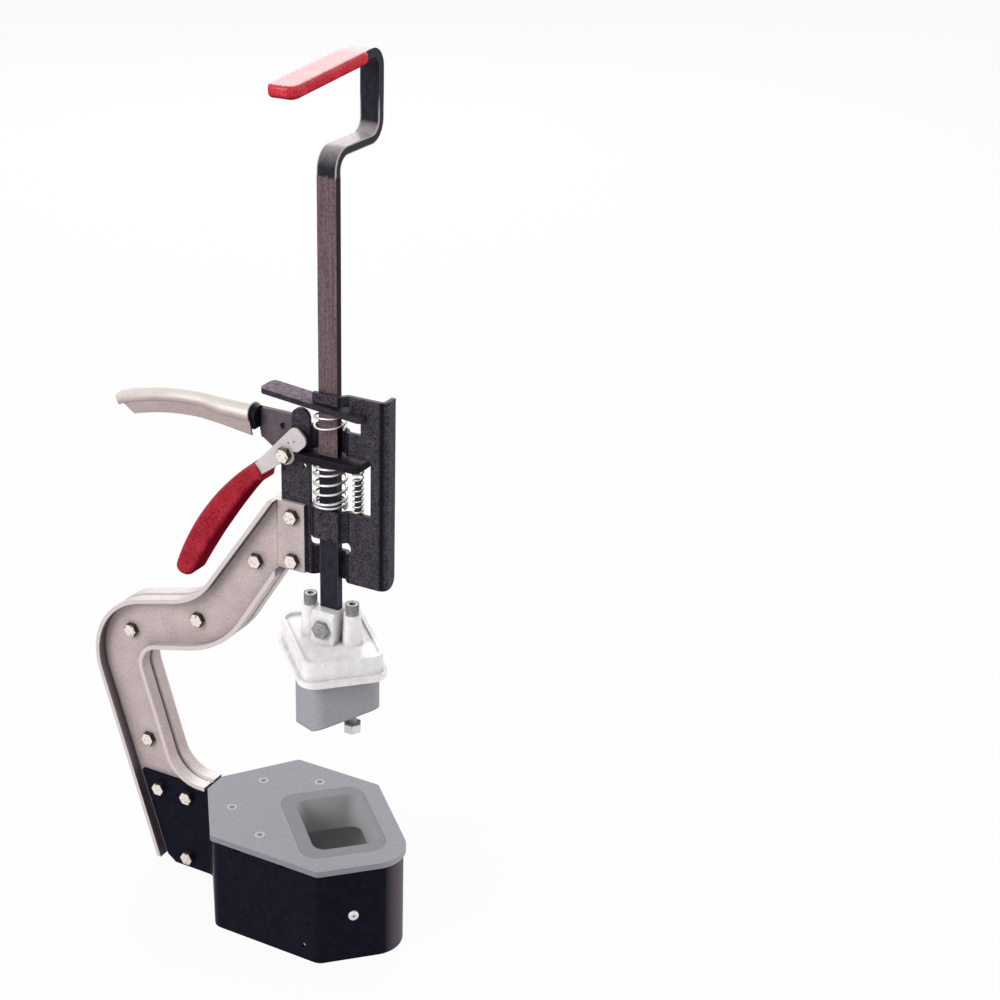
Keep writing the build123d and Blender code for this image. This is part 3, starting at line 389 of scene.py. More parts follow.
def markedWith(tree, colour, marks, core=0.7):
    # small round marks at given places, each a dark spot that fades at its rim
    place = ownPlace(tree, "Object")
    fade = (marks["radius"] * core, marks["radius"], marks["depth"], 0.0)
    for spot in marks["spots"]:
        away = vectorMath(tree, "DISTANCE", place, spot)["Value"]
        colour = mixColour(tree, spread(tree, away, *fade), colour, marks["colour"])
    return colour


def endsOf(node, axis, level=0.0002, apart=0.016):
    # middle of each separate piece of a node, at its high end along an axis
    points = [vertex.co for vertex in nodes[node].data.vertices]
    end = max(point[axis] for point in points)
    groups = []
    for point in (p for p in points if p[axis] > end - level):
        for group in groups:
            if (group[0] - point).length < apart:
                group.append(point)
                break
        else:
            groups.append([point])
    middles = []
    for group in groups:
        low = [min(p[i] for p in group) for i in range(3)]
        high = [max(p[i] for p in group) for i in range(3)]
        middles.append(Vector([(a + b) / 2 for a, b in zip(low, high)]))
    return middles


# Finishes of the bare and plated pieces; otherOn says which faces take the second tone
zincLook = dict(
    metallic=0.25, specular=0.3, draw=(400, 400, 400), fine=700.0, coarse=420.0, share=0.6,
    tone=(0.7, 1.3), dark=(0.74, 0.65, 0.53, 1), light=(0.93, 0.88, 0.79, 1),
    # other: painted shade on the flanks of heads and nuts, the faces that don't look along y
    other=(0.035, 0.026, 0.028, 1), otherOn={"Side": (0.93, 0.75)}, speckTone=(0.60, 0.66, 0.0, 0.85),
    round=0.0005, wearAndHighlight=1.0, patch=300.0, keep=0.4, bareAndHighlight=(0.95, 0.92, 0.86, 1),
    reach=0.004, dirtAndShade=0.6, soilShadeScale=200.0, soilAndShade=(0.10, 0.07, 0.05, 1),
    gloss=(0.3, 0.7), smooth=0.25, rough=0.42, peel=0.0002, relief=0.25,
)
boltLook = dict(
    zincLook, dark=(0.71, 0.62, 0.55, 1), light=(0.93, 0.87, 0.80, 1),
    # edges: rubbed plating with a white painted highlight along them
    specks=(0.09, 0.06, 0.05, 1), speckScale=420.0, wearAndHighlight=2.2, bareAndHighlight=(0.97, 0.95, 0.92, 1),
)
dullLook = dict(
    zincLook, metallic=0.3, dark=(0.24, 0.24, 0.25, 1), light=(0.42, 0.42, 0.43, 1),
    other=(0.28, 0.28, 0.29, 1), bareAndHighlight=(0.7, 0.7, 0.7, 1), soilAndShade=(0.10, 0.10, 0.10, 1),
    specks=(0.14, 0.14, 0.15, 1), speckScale=500.0,
)
nutLook = dict(
    zincLook, metallic=0.4, dark=(0.72, 0.70, 0.71, 1), light=(0.84, 0.83, 0.83, 1),
    other=(0.5, 0.5, 0.5, 1), otherOn={"Up": (0.6, 0.9)}, soilAndShade=(0.25, 0.24, 0.25, 1),
)
headSpots = []
for sign in (-1, 1):
    own = [v.co for v in nodes["box_screws"].data.vertices if sign * v.co.y > 0]
    headSpots.append(sum(own, Vector()) / len(own))
headLook = dict(
    nutLook, otherOn={"Down": (0.9, 1.0)},
    # a dark spot painted for the socket in each head: painted shade
    marks=dict(spots=headSpots, radius=0.0022, depth=0.9, colour=(0.10, 0.10, 0.10, 1)),
)
leverLook = dict(
    zincLook, metallic=0.4, draw=(90, 90, 90), fine=300.0, coarse=60.0,
    dark=(0.55, 0.49, 0.495, 1), light=(0.66, 0.60, 0.60, 1),
    other=(0.30, 0.25, 0.26, 1), otherOn={"Down": (0.2, 0.7)},
    # edges: a bright painted highlight along the rim of the lever
    round=0.0006, wearAndHighlight=2.2, bareAndHighlight=(0.92, 0.91, 0.90, 1), dirtAndShade=0.7,
    marks=dict(
        spots=[(-0.0306, -0.0097, 0.4159), (-0.0258, -0.0097, 0.4178)], radius=0.0009, depth=0.85,
        colour=(0.06, 0.05, 0.05, 1),
    ),
)
coilLook = dict(
    zincLook, metallic=0.5, dark=(0.70, 0.67, 0.67, 1), light=(0.88, 0.86, 0.85, 1),
    # other: painted shade on the faces of the wire that look down and along x
    other=(0.022, 0.018, 0.024, 1), otherOn={"Down": (0.0, 0.35), "Across": (0.62, 0.9)},
    reach=0.006, dirtAndShade=0.9,
)
groundLook = dict(
    zincLook, metallic=0.0, specular=0.05, draw=(140, 900, 140),
    dark=(0.325, 0.315, 0.35, 1), light=(0.40, 0.39, 0.43, 1),
    other=(0.26, 0.25, 0.28, 1), otherOn={"Side": (0.4, 0.8)},
    bareAndHighlight=(0.55, 0.54, 0.57, 1), dirtAndShade=0.3, soilAndShade=(0.2, 0.195, 0.21, 1), smooth=0.5, rough=0.65,
)
screwLook = dict(
    groundLook, dark=(0.50, 0.49, 0.51, 1), light=(0.66, 0.65, 0.67, 1),
    # dark spots painted for the sockets in the screw heads: painted shade
    marks=dict(
        spots=endsOf("die_screws", axis=2), radius=0.0028, depth=0.85, colour=(0.19, 0.19, 0.20, 1),
    ),
)
insertLook = dict(
    groundLook, draw=(300, 300, 300), dark=(0.262, 0.26, 0.277, 1), light=(0.292, 0.289, 0.307, 1),
    # other: the walls of the hole painted pale, as light against their shade
    other=(0.46, 0.46, 0.475, 1), otherOn={"Up": (0.8, 0.4)}, bareAndHighlight=(0.30, 0.30, 0.31, 1), dirtAndShade=0.0,
)
# painted pale, as light against the shade under the die insert
bolsterLook = dict(
    groundLook, dark=(0.66, 0.66, 0.68, 1), light=(0.78, 0.78, 0.80, 1), other=(0.72, 0.72, 0.74, 1),
)
punchLook = dict(
    groundLook, draw=(300, 300, 900), dark=(0.315, 0.31, 0.34, 1), light=(0.375, 0.37, 0.40, 1),
    other=(0.22, 0.22, 0.24, 1), otherOn={"Down": (0.3, 0.8)},
    round=0.003, wearAndHighlight=0.3, bareAndHighlight=(0.45, 0.45, 0.47, 1), dirtAndShade=0.4, soilAndShade=(0.16, 0.16, 0.17, 1),
)
castLook = dict(
    groundLook, specular=0.3, draw=(150, 150, 60), fine=420.0, coarse=90.0,
    dark=(0.79, 0.76, 0.775, 1), light=(0.98, 0.96, 0.965, 1),
    other=(0.5, 0.48, 0.49, 1), otherOn={"Down": (0.3, 0.8)},
    specks=(0.80, 0.775, 0.79, 1), speckScale=300.0, wearAndHighlight=2.4, bareAndHighlight=(0.97, 0.96, 0.96, 1),
    reach=0.006, dirtAndShade=1.2, soilAndShade=(0.24, 0.23, 0.25, 1), smooth=0.25, rough=0.45,
)
metal = {
    "boltPlate": (boltLook, ["neck_bolts", "tab_bolts", "base_bolts", "pivot_bolt"]),
    "zincPlate": (
        zincLook, ["neck_nuts", "tab_nuts", "base_nuts", "pivot_nut", "pivot_spacers"],
    ),
    "dullPlate": (dullLook, ["cross_bolt", "cross_nut", "punch_bolts"]),
    "nutPlate": (nutLook, ["punch_nuts"]),
    "headPlate": (headLook, ["box_screws"]),
    "leverPlate": (leverLook, ["trigger_lever"]),
    "coilPlate": (coilLook, []),
    "groundSteel": (groundLook, ["die_plate"]),
    "bolsterSteel": (bolsterLook, ["die_bolster"]),
    "screwSteel": (screwLook, ["die_screws"]),
    "insertSteel": (insertLook, ["die_insert"]),
    "punchSteel": (punchLook, ["punch"]),
    "castBright": (castLook, ["punch_holder"]),
}
finishes = {}
for name, (look, pieces) in metal.items():
    finishes[name] = bareSteel(name, look)
    dress(finishes[name], pieces)
print("metal pieces dressed")

# Ram bar: black paint at both ends, rubbed to brown steel where it runs through the guides, with
# painted shade on its sides, a painted sheen on top of the bend of the painted top and a painted
# highlight along that bend's edges
barLook = dict(
    specular=0.06, rubLow=0.400, rubHigh=0.6195, ragged=0.010, fadeLow=0.006, fadeHigh=0.0015,
    streaks=(900, 900, 14), scuffs=(300, 300, 120), mottle=(560, 560, 430),
    streakShare=0.45, mottleShare=0.55, rubTone=(0.37, 0.63),
    steelDark=(0.080, 0.049, 0.055, 1), steelLight=(0.20, 0.135, 0.147, 1),
    # side: painted shade on the narrow faces of the rubbed steel
    side=(0.003, 0.002, 0.004, 1), sideTurn=(0.6, 0.9, 0.0, 0.97),
    paint=(0.016, 0.015, 0.024, 1), paintLight=(0.028, 0.026, 0.038, 1), paintTone=(0.35, 0.65),
    # a painted sheen on faces that look up, rising over the bend
    paintedSheen=(0.60, 0.53, 0.54, 1), sheenUp=(0.2, 1.0), sheenTone=(0.2, 0.6, 0.6, 1.0),
    sheenRise=(0.6245, 0.644), coatUp=(0.3, 0.95, 0.0, 0.22), coatRough=0.36, coatBend=1.6,
    round=0.0008, wearAndHighlight=4.5, patch=240.0, keep=1.2, bareAndHighlight=(0.46, 0.40, 0.40, 1),
    # bright: a painted highlight along the edges of the bend
    bright=(0.66, 0.62, 0.64, 1), brightBelow=(0.655, 0.668, 1.0, 0.0),
    brightEdge=dict(round=0.0022, wearAndHighlight=10.0, patch=220.0, keep=0.4),
    gloss=(0.3, 0.7), smooth=0.28, rough=0.46, peel=0.0003, relief=0.25,
)


def makeBarFinish(look):
    material, tree, shader = newMaterial("barFinish", 0.0, look["specular"])
    height, turn = axesOf(tree, "Object")["Z"], turnOf(tree)
    streaks = noiseAt(tree, objectPlace(tree, look["streaks"]), 1.0, detail=4.0, rough=0.6)
    scuffs = noiseAt(tree, objectPlace(tree, look["scuffs"]), 1.0, detail=4.0, rough=0.65)
    mottle = noiseAt(tree, objectPlace(tree, look["mottle"]), 1.0, detail=3.0, rough=0.6)
    level = calc(tree, "ADD", height, times(tree, scuffs, look["ragged"]))
    top, foot = (look[end] + look["ragged"] / 2 for end in ("rubHigh", "rubLow"))
    upper = spread(tree, level, top, top + look["fadeHigh"])
    lower = spread(tree, level, foot - look["fadeLow"], foot + look["fadeLow"], 1.0, 0.0)
    streaked = times(tree, streaks, look["streakShare"])
    mottled = times(tree, mottle, look["mottleShare"])
    rub = spread(tree, calc(tree, "ADD", streaked, mottled), *look["rubTone"])
    steel = mixColour(tree, rub, look["steelDark"], look["steelLight"])
    # painted shade on the narrow faces that look along x
    steel = mixColour(tree, spread(tree, turn["Across"], *look["sideTurn"]), steel, look["side"])
    paintTone = spread(tree, scuffs, *look["paintTone"])
    paint = mixColour(tree, paintTone, look["paint"], look["paintLight"])
    # a painted sheen on faces that look up where the painted top bends
    rising = spread(tree, height, *look["sheenRise"])
    patchy = spread(tree, scuffs, *look["sheenTone"])
    crest = times(tree, spread(tree, turn["Up"], *look["sheenUp"]), patchy)
    paint = mixColour(tree, times(tree, crest, rising), paint, look["paintedSheen"])
    colour = mixColour(tree, calc(tree, "MAXIMUM", upper, lower), steel, paint)
    wearAndHighlight = wearAndHighlightOf(tree, look)
    colour = mixColour(tree, wearAndHighlight["Wear And Highlight"], colour, look["bareAndHighlight"])
    # a painted highlight along the edges where the painted top first bends
    bent = times(tree, upper, spread(tree, height, *look["brightBelow"]))
    shine = times(tree, wearAndHighlightOf(tree, look["brightEdge"])["Wear And Highlight"], bent)
    feed(tree, shader, {
        "Base Color": mixColour(tree, shine, colour, look["bright"]),
        "Roughness": spread(tree, streaks, *look["gloss"], look["smooth"], look["rough"]),
        "Coat Weight": times(tree, rising, spread(tree, turn["Up"], *look["coatUp"])),
        "Coat Roughness": look["coatRough"],
        "Coat IOR": look["coatBend"],
        "Normal": bumpFrom(tree, look, streaks, wearAndHighlight["Normal"]),
    })
    return material


dress(makeBarFinish(barLook), ["ram_bar"])
print("ram bar dressed")

# Vinyl grips: sleeves lofted over the end of the bar and the tang of the lever
topVinylLook = dict(
    fine=800.0, coarse=70.0, share=0.35, tone=(0.36, 0.64),
    dark=(0.44, 0.013, 0.030, 1), light=(0.74, 0.070, 0.090, 1),
    # painted shade on faces that look down
    under=(0.22, 0.008, 0.018, 1), underTurn=(0.05, 0.6),
    reach=0.004, dirtAndShade=0.8, soilShadeScale=160.0, soilAndShade=(0.14, 0.005, 0.010, 1),
    coat=0.72, coatUp=(0.0, 0.7), gloss=(0.3, 0.7), smooth=0.26, rough=0.4, peel=0.0003, relief=0.15,
)
triggerVinylLook = dict(
    topVinylLook, dark=(0.20, 0.007, 0.017, 1), light=(0.50, 0.040, 0.060, 1),
    under=(0.15, 0.004, 0.011, 1), coat=0.5,
)


def makeVinyl(name, look):
    material, tree, shader = newMaterial(name, 0.0, 0.0)
    grain, turn = grainOf(tree, look), turnOf(tree)
    tone = spread(tree, grain["Tone"], *look["tone"])
    colour = mixColour(tree, tone, look["dark"], look["light"])
    # under: painted shade on faces that look down
    below = spread(tree, turn["Down"], *look["underTurn"])
    colour = mixColour(tree, below, colour, look["under"])
    feed(tree, shader, {
        "Base Color": mixColour(tree, soilAndShadeOf(tree, look)["Soil And Shade"], colour, look["soilAndShade"]),
        "Roughness": spread(tree, grain["Tone"], *look["gloss"], look["smooth"], look["rough"]),
        "Coat Weight": spread(tree, turn["Up"], *look["coatUp"], 0.0, look["coat"]),
        "Coat Roughness": look["smooth"],
        "Normal": bumpFrom(tree, look, grain["Height"]),
    })
    return material


def linkPiece(name, data):
    piece = bpy.data.objects.new(name, data)
    bpy.context.scene.collection.objects.link(piece)
    return piece


def roundedRing(halfWide, halfHigh, corner, perCorner=5, perSide=6, flat=0.02):
    # outline of a rounded rectangle, as pairs of across and up
    corner = min(corner, halfWide * (1 - flat), halfHigh * (1 - flat))
    bows = []
    for number, (right, up) in enumerate([(1, 1), (-1, 1), (-1, -1), (1, -1)]):
        middle = Vector((right * (halfWide - corner), up * (halfHigh - corner)))
        turns = [math.radians(90 * (number + step / perCorner)) for step in range(perCorner + 1)]
        bows.append([middle + corner * Vector((math.cos(turn), math.sin(turn))) for turn in turns])
    ring = []
    for number, bow in enumerate(bows):
        following = bows[(number + 1) % 4][0]
        ring += bow + [bow[-1].lerp(following, step / perSide) for step in range(1, perSide)]
    return ring


def loftMesh(name, rings):
    # rings joined in turn and both ends closed
    work = bmesh.new()
    made = [[work.verts.new(point) for point in ring] for ring in rings]
    count = len(made[0])
    for before, after in zip(made, made[1:]):
        for i in range(count):
            j = (i + 1) % count
            work.faces.new((before[i], before[j], after[j], after[i]))
    for ring in (made[0], made[-1]):
        middle = work.verts.new(sum((corner.co for corner in ring), Vector()) / count)
        for i in range(count):
            work.faces.new((ring[i], ring[(i + 1) % count], middle))
    bmesh.ops.recalc_face_normals(work, faces=work.faces)
    for face in work.faces:
        face.smooth = True
    mesh = bpy.data.meshes.new(name)
    work.to_mesh(mesh)
    work.free()
    return mesh


def eased(away, radius):
    # how far a rounded end has drawn in at a distance from it
    away = min(max(away, 0.0), radius)
    return radius - math.sqrt(radius ** 2 - (radius - away) ** 2)


# Where both sleeves have their rings, in millimetres from the tip, the mouth and down the socket
mm = 0.001
sleeveRings = dict(
    nearTip=[0.0, 0.15, 0.5, 1.1, 2.0, 3.0, 4.2, 5.6, 7.0, 8.2],
    nearMouth=[10.0, 9.0, 8.0, 7.0, 6.0, 5.0, 4.0, 3.0, 2.0, 1.2, 0.6, 0.2, 0.0],
    between=22, socketMouth=0.4, socketSteps=13, socketFlare=0.3, socketEdge=0.5, lipBelow=0.2,
)


def sleeve(name, size, frameAt, highAt, material):
    # rounded tip, wavy skin, lip at the mouth, then down the socket
    length, side, at = size["length"], Vector(size["side"]), sleeveRings
    run = length - at["nearTip"][-1] - at["nearMouth"][0]
    shares = [step / at["between"] for step in range(1, at["between"])]
    skin = [length - tip for tip in at["nearTip"]]
    skin += [at["nearMouth"][0] + run * (1 - share) for share in shares] + at["nearMouth"]
    rings = []
    for away in skin:
        middle, up = frameAt(away / length)
        drawn = eased(away, size["mouthRun"]) / size["mouthRun"]
        wide = size["halfWide"] - eased(length - away, size["tipWide"]) - size["mouthWide"] * drawn
        high = highAt(away / length) - eased(length - away, size["tipHigh"])
        high -= size["mouthHigh"] * drawn
        lip = size["lip"] * math.exp(-(((away - size["lipAt"]) / size["lipRun"]) ** 2))
        lip += size["full"] * math.exp(-((away / size["fullRun"]) ** 2))
        ring = []
        for across, rise in roundedRing(wide, high, size["edge"]):
            under = max(0.0, -rise / high - at["lipBelow"]) / (1 - at["lipBelow"])
            point = middle + side * across + up * (rise - lip * under)
            sway = (noise.noise(point * size["waveScale"]) - 1) * size["wave"]
            ring.append((point + (point - middle).normalized() * sway) * mm)
        rings.append(ring)
    steps = range(1, at["socketSteps"] + 1)
    deeper = [size["socketDeep"] * step / at["socketSteps"] for step in steps]
    for away in [0.0, at["socketMouth"]] + deeper:
        middle, up = frameAt(away / length)
        spare = 0.0 if away else at["socketFlare"]
        high = size["socketHigh"] or highAt(away / length) - size["wall"]
        high -= eased(length - away - size["wall"], size["tipHigh"] - size["wall"])
        outline = roundedRing(size["socketWide"] + spare, high + spare, at["socketEdge"])
        rings.append([(middle + side * across + up * rise) * mm for across, rise in outline])
    mesh = loftMesh(name, rings)
    mesh.materials.append(material)
    return linkPiece(name, mesh)


def arcThrough(a, b, c):
    # the arc through three places of the squeeze plane, read from 0 to 1
    (ax, az), (bx, bz), (cx, cz) = a, b, c
    twice = 2 * (ax * (bz - cz) + bx * (cz - az) + cx * (az - bz))
    aa, bb, cc = ax * ax + az * az, bx * bx + bz * bz, cx * cx + cz * cz
    x = (aa * (bz - cz) + bb * (cz - az) + cc * (az - bz)) / twice
    z = (aa * (cx - bx) + bb * (ax - cx) + cc * (bx - ax)) / twice
    radius, start = math.hypot(ax - x, az - z), math.atan2(az - z, ax - x)
    swing = (math.atan2(cz - z, cx - x) - start + math.pi) % (2 * math.pi) - math.pi

    def at(share):
        turn = start + swing * share
        return Vector((x + radius * math.cos(turn), 0, z + radius * math.sin(turn)))

    return at


topGripSize = dict(
    middle=(0, -12.5, 694.28), tilt=4.218, length=99.0, side=(1, 0, 0), halfWide=12.5, halfHigh=4.6,
    edge=3.0, tipWide=8.0, tipHigh=3.0, mouthRun=8.0, mouthWide=3.4, mouthHigh=0.8,
    lip=0.0, lipAt=0.0, lipRun=1.0, full=0.0, fullRun=1.0, wave=0.12, waveScale=0.07,
    wall=1.3, socketWide=8.05, socketHigh=3.3, socketDeep=94.7,
)
lean = math.radians(topGripSize["tilt"])
barRun = Vector((0, -math.cos(lean), -math.sin(lean)))
barUp = Vector((0, -math.sin(lean), math.cos(lean)))


def topGripFrame(share):
    run = barRun * topGripSize["length"] * (share - 0.5)
    return Vector(topGripSize["middle"]) + run, barUp


def topGripHigh(share):
    return topGripSize["halfHigh"]


topVinyl = makeVinyl("topVinyl", topVinylLook)
topGrip = sleeve("topGrip", topGripSize, topGripFrame, topGripHigh, topVinyl)
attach(topGrip, "ram")
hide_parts("top_grip")

triggerGripSize = dict(
    outer=[(-61.6, 393.9), (-110.2, 343.9), (-141.0, 283.6)],
    inner=[(-54.4, 384.8), (-92.0, 334.3), (-125.6, 279.4)],
    side=(0, 1, 0), halfWide=11.2, edge=4.0, tipWide=4.0, tipHigh=7.5,
    mouthRun=1.0, mouthWide=0.5, mouthHigh=0.8, lip=2.2, lipAt=5.0, lipRun=2.2, full=0.9, fullRun=20.0,
    wave=0.15, waveScale=0.06, wall=1.85, socketWide=9.8, socketEnd=2.4, spineSteps=40,
    socketHigh=0.0,  # none of its own: a wall's thickness inside the skin
)
outerArc, innerArc = arcThrough(*triggerGripSize["outer"]), arcThrough(*triggerGripSize["inner"])


def triggerGripFrame(share):
    outer, inner = outerArc(share), innerArc(share)
    return (outer + inner) / 2, (outer - inner).normalized()


def triggerGripHigh(share):
    return (outerArc(share) - innerArc(share)).length / 2


steps = triggerGripSize["spineSteps"]
spine = [triggerGripFrame(step / steps)[0] for step in range(steps + 1)]
triggerGripSize["length"] = sum((b - a).length for a, b in zip(spine, spine[1:]))
triggerGripSize["socketDeep"] = triggerGripSize["length"] - triggerGripSize["socketEnd"]
triggerVinyl = makeVinyl("triggerVinyl", triggerVinylLook)
triggerGrip = sleeve("triggerGrip", triggerGripSize, triggerGripFrame, triggerGripHigh, triggerVinyl)
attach(triggerGrip, "trigger")
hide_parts("trigger_grip")
print("vinyl grips lofted")


# Geometry node trees: each takes named sizes and a finish, and ends as a real mesh
socketKinds = {float: "NodeSocketFloat", int: "NodeSocketInt"}


def geometryTree(name, inputs):
    # a number makes a number socket, a word names the kind of socket
    tree = bpy.data.node_groups.new(name, "GeometryNodeTree")
    tree.is_modifier = True
    keys = {}
    for label, value in {**inputs, "Finish": "NodeSocketMaterial"}.items():
        kind = socketKinds.get(type(value), value)
        socket = tree.interface.new_socket(name=label, in_out="INPUT", socket_type=kind)
        if kind != value:
            socket.default_value = value
        keys[label] = socket.identifier
    tree.interface.new_socket(name="Geometry", in_out="OUTPUT", socket_type="NodeSocketGeometry")
    return tree, keys, addNode(tree, "NodeGroupInput").outputs


def chain(tree, kind, geometry, values=None, **settings):
    return fed(tree, kind, {0: geometry, **(values or {})}, **settings)[0]


def tubeAlong(tree, path, radius, sides, scale=None):
    ring = fed(tree, "GeometryNodeCurvePrimitiveCircle", {"Resolution": sides, "Radius": radius})[0]
    values = {"Profile Curve": ring, "Scale": scale, "Fill Caps": True}
    return chain(tree, "GeometryNodeCurveToMesh", path, values)


def onPoints(tree, points, shape):
    return chain(tree, "GeometryNodeInstanceOnPoints", points, {"Instance": shape})


def finishTree(tree, geometry, finish):
    real = chain(tree, "GeometryNodeRealizeInstances", geometry)
    dressed = chain(tree, "GeometryNodeSetMaterial", real, {"Material": finish})
    feed(tree, addNode(tree, "NodeGroupOutput"), {0: dressed})


def fromTree(name, made, values, start=None):
    # the tree's result as a plain mesh, with the modifier taken off
    tree, keys = made
    piece = linkPiece(name, start or bpy.data.meshes.new(name))
    modifier = piece.modifiers.new("shape", "NODES")
    modifier.node_group = tree
    for label, value in values.items():
        modifier[keys[label]] = value
    graph = bpy.context.evaluated_depsgraph_get()
    mesh = bpy.data.meshes.new_from_object(piece.evaluated_get(graph))
    piece.modifiers.clear()
    piece.data = mesh
    return piece


def pointsMesh(name, places, edges=()):
    mesh = bpy.data.meshes.new(name)
    mesh.from_pydata([tuple(place) for place in places], list(edges), [])
    return mesh


def makeSpringTree(perTurn=36.0, sides=14):
    # a helix whose end turns close up
    tree, keys, given = geometryTree("closedSpring", {
        "Centre X": 0.0, "Coil Radius": 0.01, "Wire Radius": 0.001, "Turns": 6.0, "Low": 0.0,
        "High": 0.04, "Closed Rise": 0.0026, "Foot Turns": 0.75, "Top Turns": 0.75, "Seat": 0.0002,
    })
    line = addNode(tree, "GeometryNodeCurvePrimitiveLine").outputs[0]
    count = times(tree, given["Turns"], perTurn)
    points = chain(tree, "GeometryNodeResampleCurve", line, {"Count": count})
    share = addNode(tree, "GeometryNodeSplineParameter").outputs["Factor"]
    angle = times(tree, times(tree, share, given["Turns"]), 2 * math.pi)
    across = times(tree, calc(tree, "COSINE", angle), given["Coil Radius"])
    deep = times(tree, calc(tree, "SINE", angle), given["Coil Radius"])
    footShare = calc(tree, "DIVIDE", given["Foot Turns"], given["Turns"])
    topShare = calc(tree, "DIVIDE", given["Top Turns"], given["Turns"])
    lastShare = calc(tree, "SUBTRACT", 1.0, topShare)
    footRise = times(tree, given["Closed Rise"], given["Foot Turns"])
    topRise = times(tree, given["Closed Rise"], given["Top Turns"])
    inset = calc(tree, "ADD", given["Wire Radius"], given["Seat"])
    whole = calc(tree, "SUBTRACT", given["High"], given["Low"])
    room = calc(tree, "SUBTRACT", whole, times(tree, inset, 2.0))
    active = calc(tree, "SUBTRACT", room, calc(tree, "ADD", footRise, topRise))
    height = calc(tree, "ADD", given["Low"], inset)
    for rise in (
        spread(tree, share, 0.0, footShare, 0.0, footRise),
        spread(tree, share, footShare, lastShare, 0.0, active),
        spread(tree, share, lastShare, 1.0, 0.0, topRise),
    ):
        height = calc(tree, "ADD", height, rise)
    across = calc(tree, "ADD", across, given["Centre X"])
    place = fed(tree, "ShaderNodeCombineXYZ", {"X": across, "Y": deep, "Z": height})[0]
    coil = chain(tree, "GeometryNodeSetPosition", points, {"Position": place})
    wire = tubeAlong(tree, coil, given["Wire Radius"], sides)
    finishTree(tree, chain(tree, "GeometryNodeSetShadeSmooth", wire), given["Finish"])
    return tree, keys


def makeKnurlTree(sides=6, taper=0.7):
    # upright ridges round a screw head, on every place given
    tree, keys, given = geometryTree("knurlRidges", {
        "Places": "NodeSocketGeometry", "Radius": 0.005, "Ridge": 0.0005, "Height": 0.003, "Count": 28,
    })
    circle = {"Vertices": given["Count"], "Radius": given["Radius"]}
    ring = fed(tree, "GeometryNodeMeshCircle", circle)[0]
    ridge = fed(tree, "GeometryNodeMeshCone", {
        "Vertices": sides, "Radius Top": times(tree, given["Ridge"], taper),
        "Radius Bottom": given["Ridge"], "Depth": given["Height"],
    })[0]
    heads = onPoints(tree, given["Places"], onPoints(tree, ring, ridge))
    finishTree(tree, heads, given["Finish"])
    return tree, keys


def makeThreadTree(perTurn=20, sides=5):
    # a screw thread wound on every place given, leaned to the bolt's own axis
    tree, keys, given = geometryTree("threadTurns", {
        "Places": "NodeSocketGeometry", "Core Radius": 0.003, "Crest": 0.0004, "Pitch": 0.0011,
        "Turns": 2.0, "Lean": 0.0,
    })
    spiral = fed(tree, "GeometryNodeCurveSpiral", {
        "Resolution": perTurn, "Rotations": given["Turns"], "Start Radius": given["Core Radius"],
        "End Radius": given["Core Radius"], "Height": times(tree, given["Turns"], given["Pitch"]),
    })[0]
    wound = tubeAlong(tree, spiral, given["Crest"], sides)
    lean = fed(tree, "ShaderNodeCombineXYZ", {"X": given["Lean"]})[0]
    leaned = chain(tree, "GeometryNodeTransform", wound, {"Rotation": lean})
    finishTree(tree, onPoints(tree, given["Places"], leaned), given["Finish"])
    return tree, keys


def makeBeadTree(points=160, sides=12, unevenScale=260.0, least=0.5):
    # a weld bead along a path, rippled and slightly uneven
    tree, keys, given = geometryTree("weldBead", {
        "Path": "NodeSocketGeometry", "Radius": 0.0014, "Ripples": 24.0, "Depth": 0.16,
    })
    line = chain(tree, "GeometryNodeMeshToCurve", given["Path"])
    soft = chain(tree, "GeometryNodeCurveSplineType", line, spline_type="CATMULL_ROM")
    fine = chain(tree, "GeometryNodeResampleCurve", soft, {"Count": points})
    share = addNode(tree, "GeometryNodeSplineParameter").outputs["Factor"]
    angle = times(tree, times(tree, share, given["Ripples"]), 2 * math.pi)
    ripple = times(tree, calc(tree, "SINE", angle), given["Depth"])
    uneven = fed(tree, "ShaderNodeTexNoise", {"Scale": unevenScale})["Fac"]
    swell = calc(tree, "ADD", ripple, calc(tree, "ADD", uneven, least))
    bead = tubeAlong(tree, fine, given["Radius"], sides, swell)
    finishTree(tree, chain(tree, "GeometryNodeSetShadeSmooth", bead), given["Finish"])
    return tree, keys


# Springs, each seated on the head plate and squashed by the plate that it pushes
springTree = makeSpringTree()
springs = {
    "driveSpring": dict(
        node="drive_spring", joint="drive_slide", centre=0.0, coil=0.0121, wire=0.00115, turns=6.0,
        foot=1.75, low=0.367, high=0.404, closed=0.00285, travel=0.007,
    ),
    "auxSpring": dict(
        node="aux_spring", joint="drive_slide", centre=0.024, coil=0.00385, wire=0.00065, turns=9.0,
        foot=0.75, low=0.367, high=0.404, closed=0.00185, travel=0.007,
    ),
    "releaseSpring": dict(
        node="release_spring", joint="release_hinge", centre=0.0, coil=0.0117, wire=0.0009, turns=2.5,
        foot=0.75, low=0.4308, high=0.44493, closed=0.00235, travel=0.0016,
    ),
}
for name, one in springs.items():
    piece = fromTree(name, springTree, {
        "Centre X": one["centre"], "Coil Radius": one["coil"], "Wire Radius": one["wire"],
        "Turns": one["turns"], "Foot Turns": one["foot"], "Low": one["low"], "High": one["high"],
        "Closed Rise": one["closed"], "Finish": finishes["coilPlate"],
    })
    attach(piece, "frame")
    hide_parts(one["node"])
    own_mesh(piece)
print("springs wound:", len(springs))

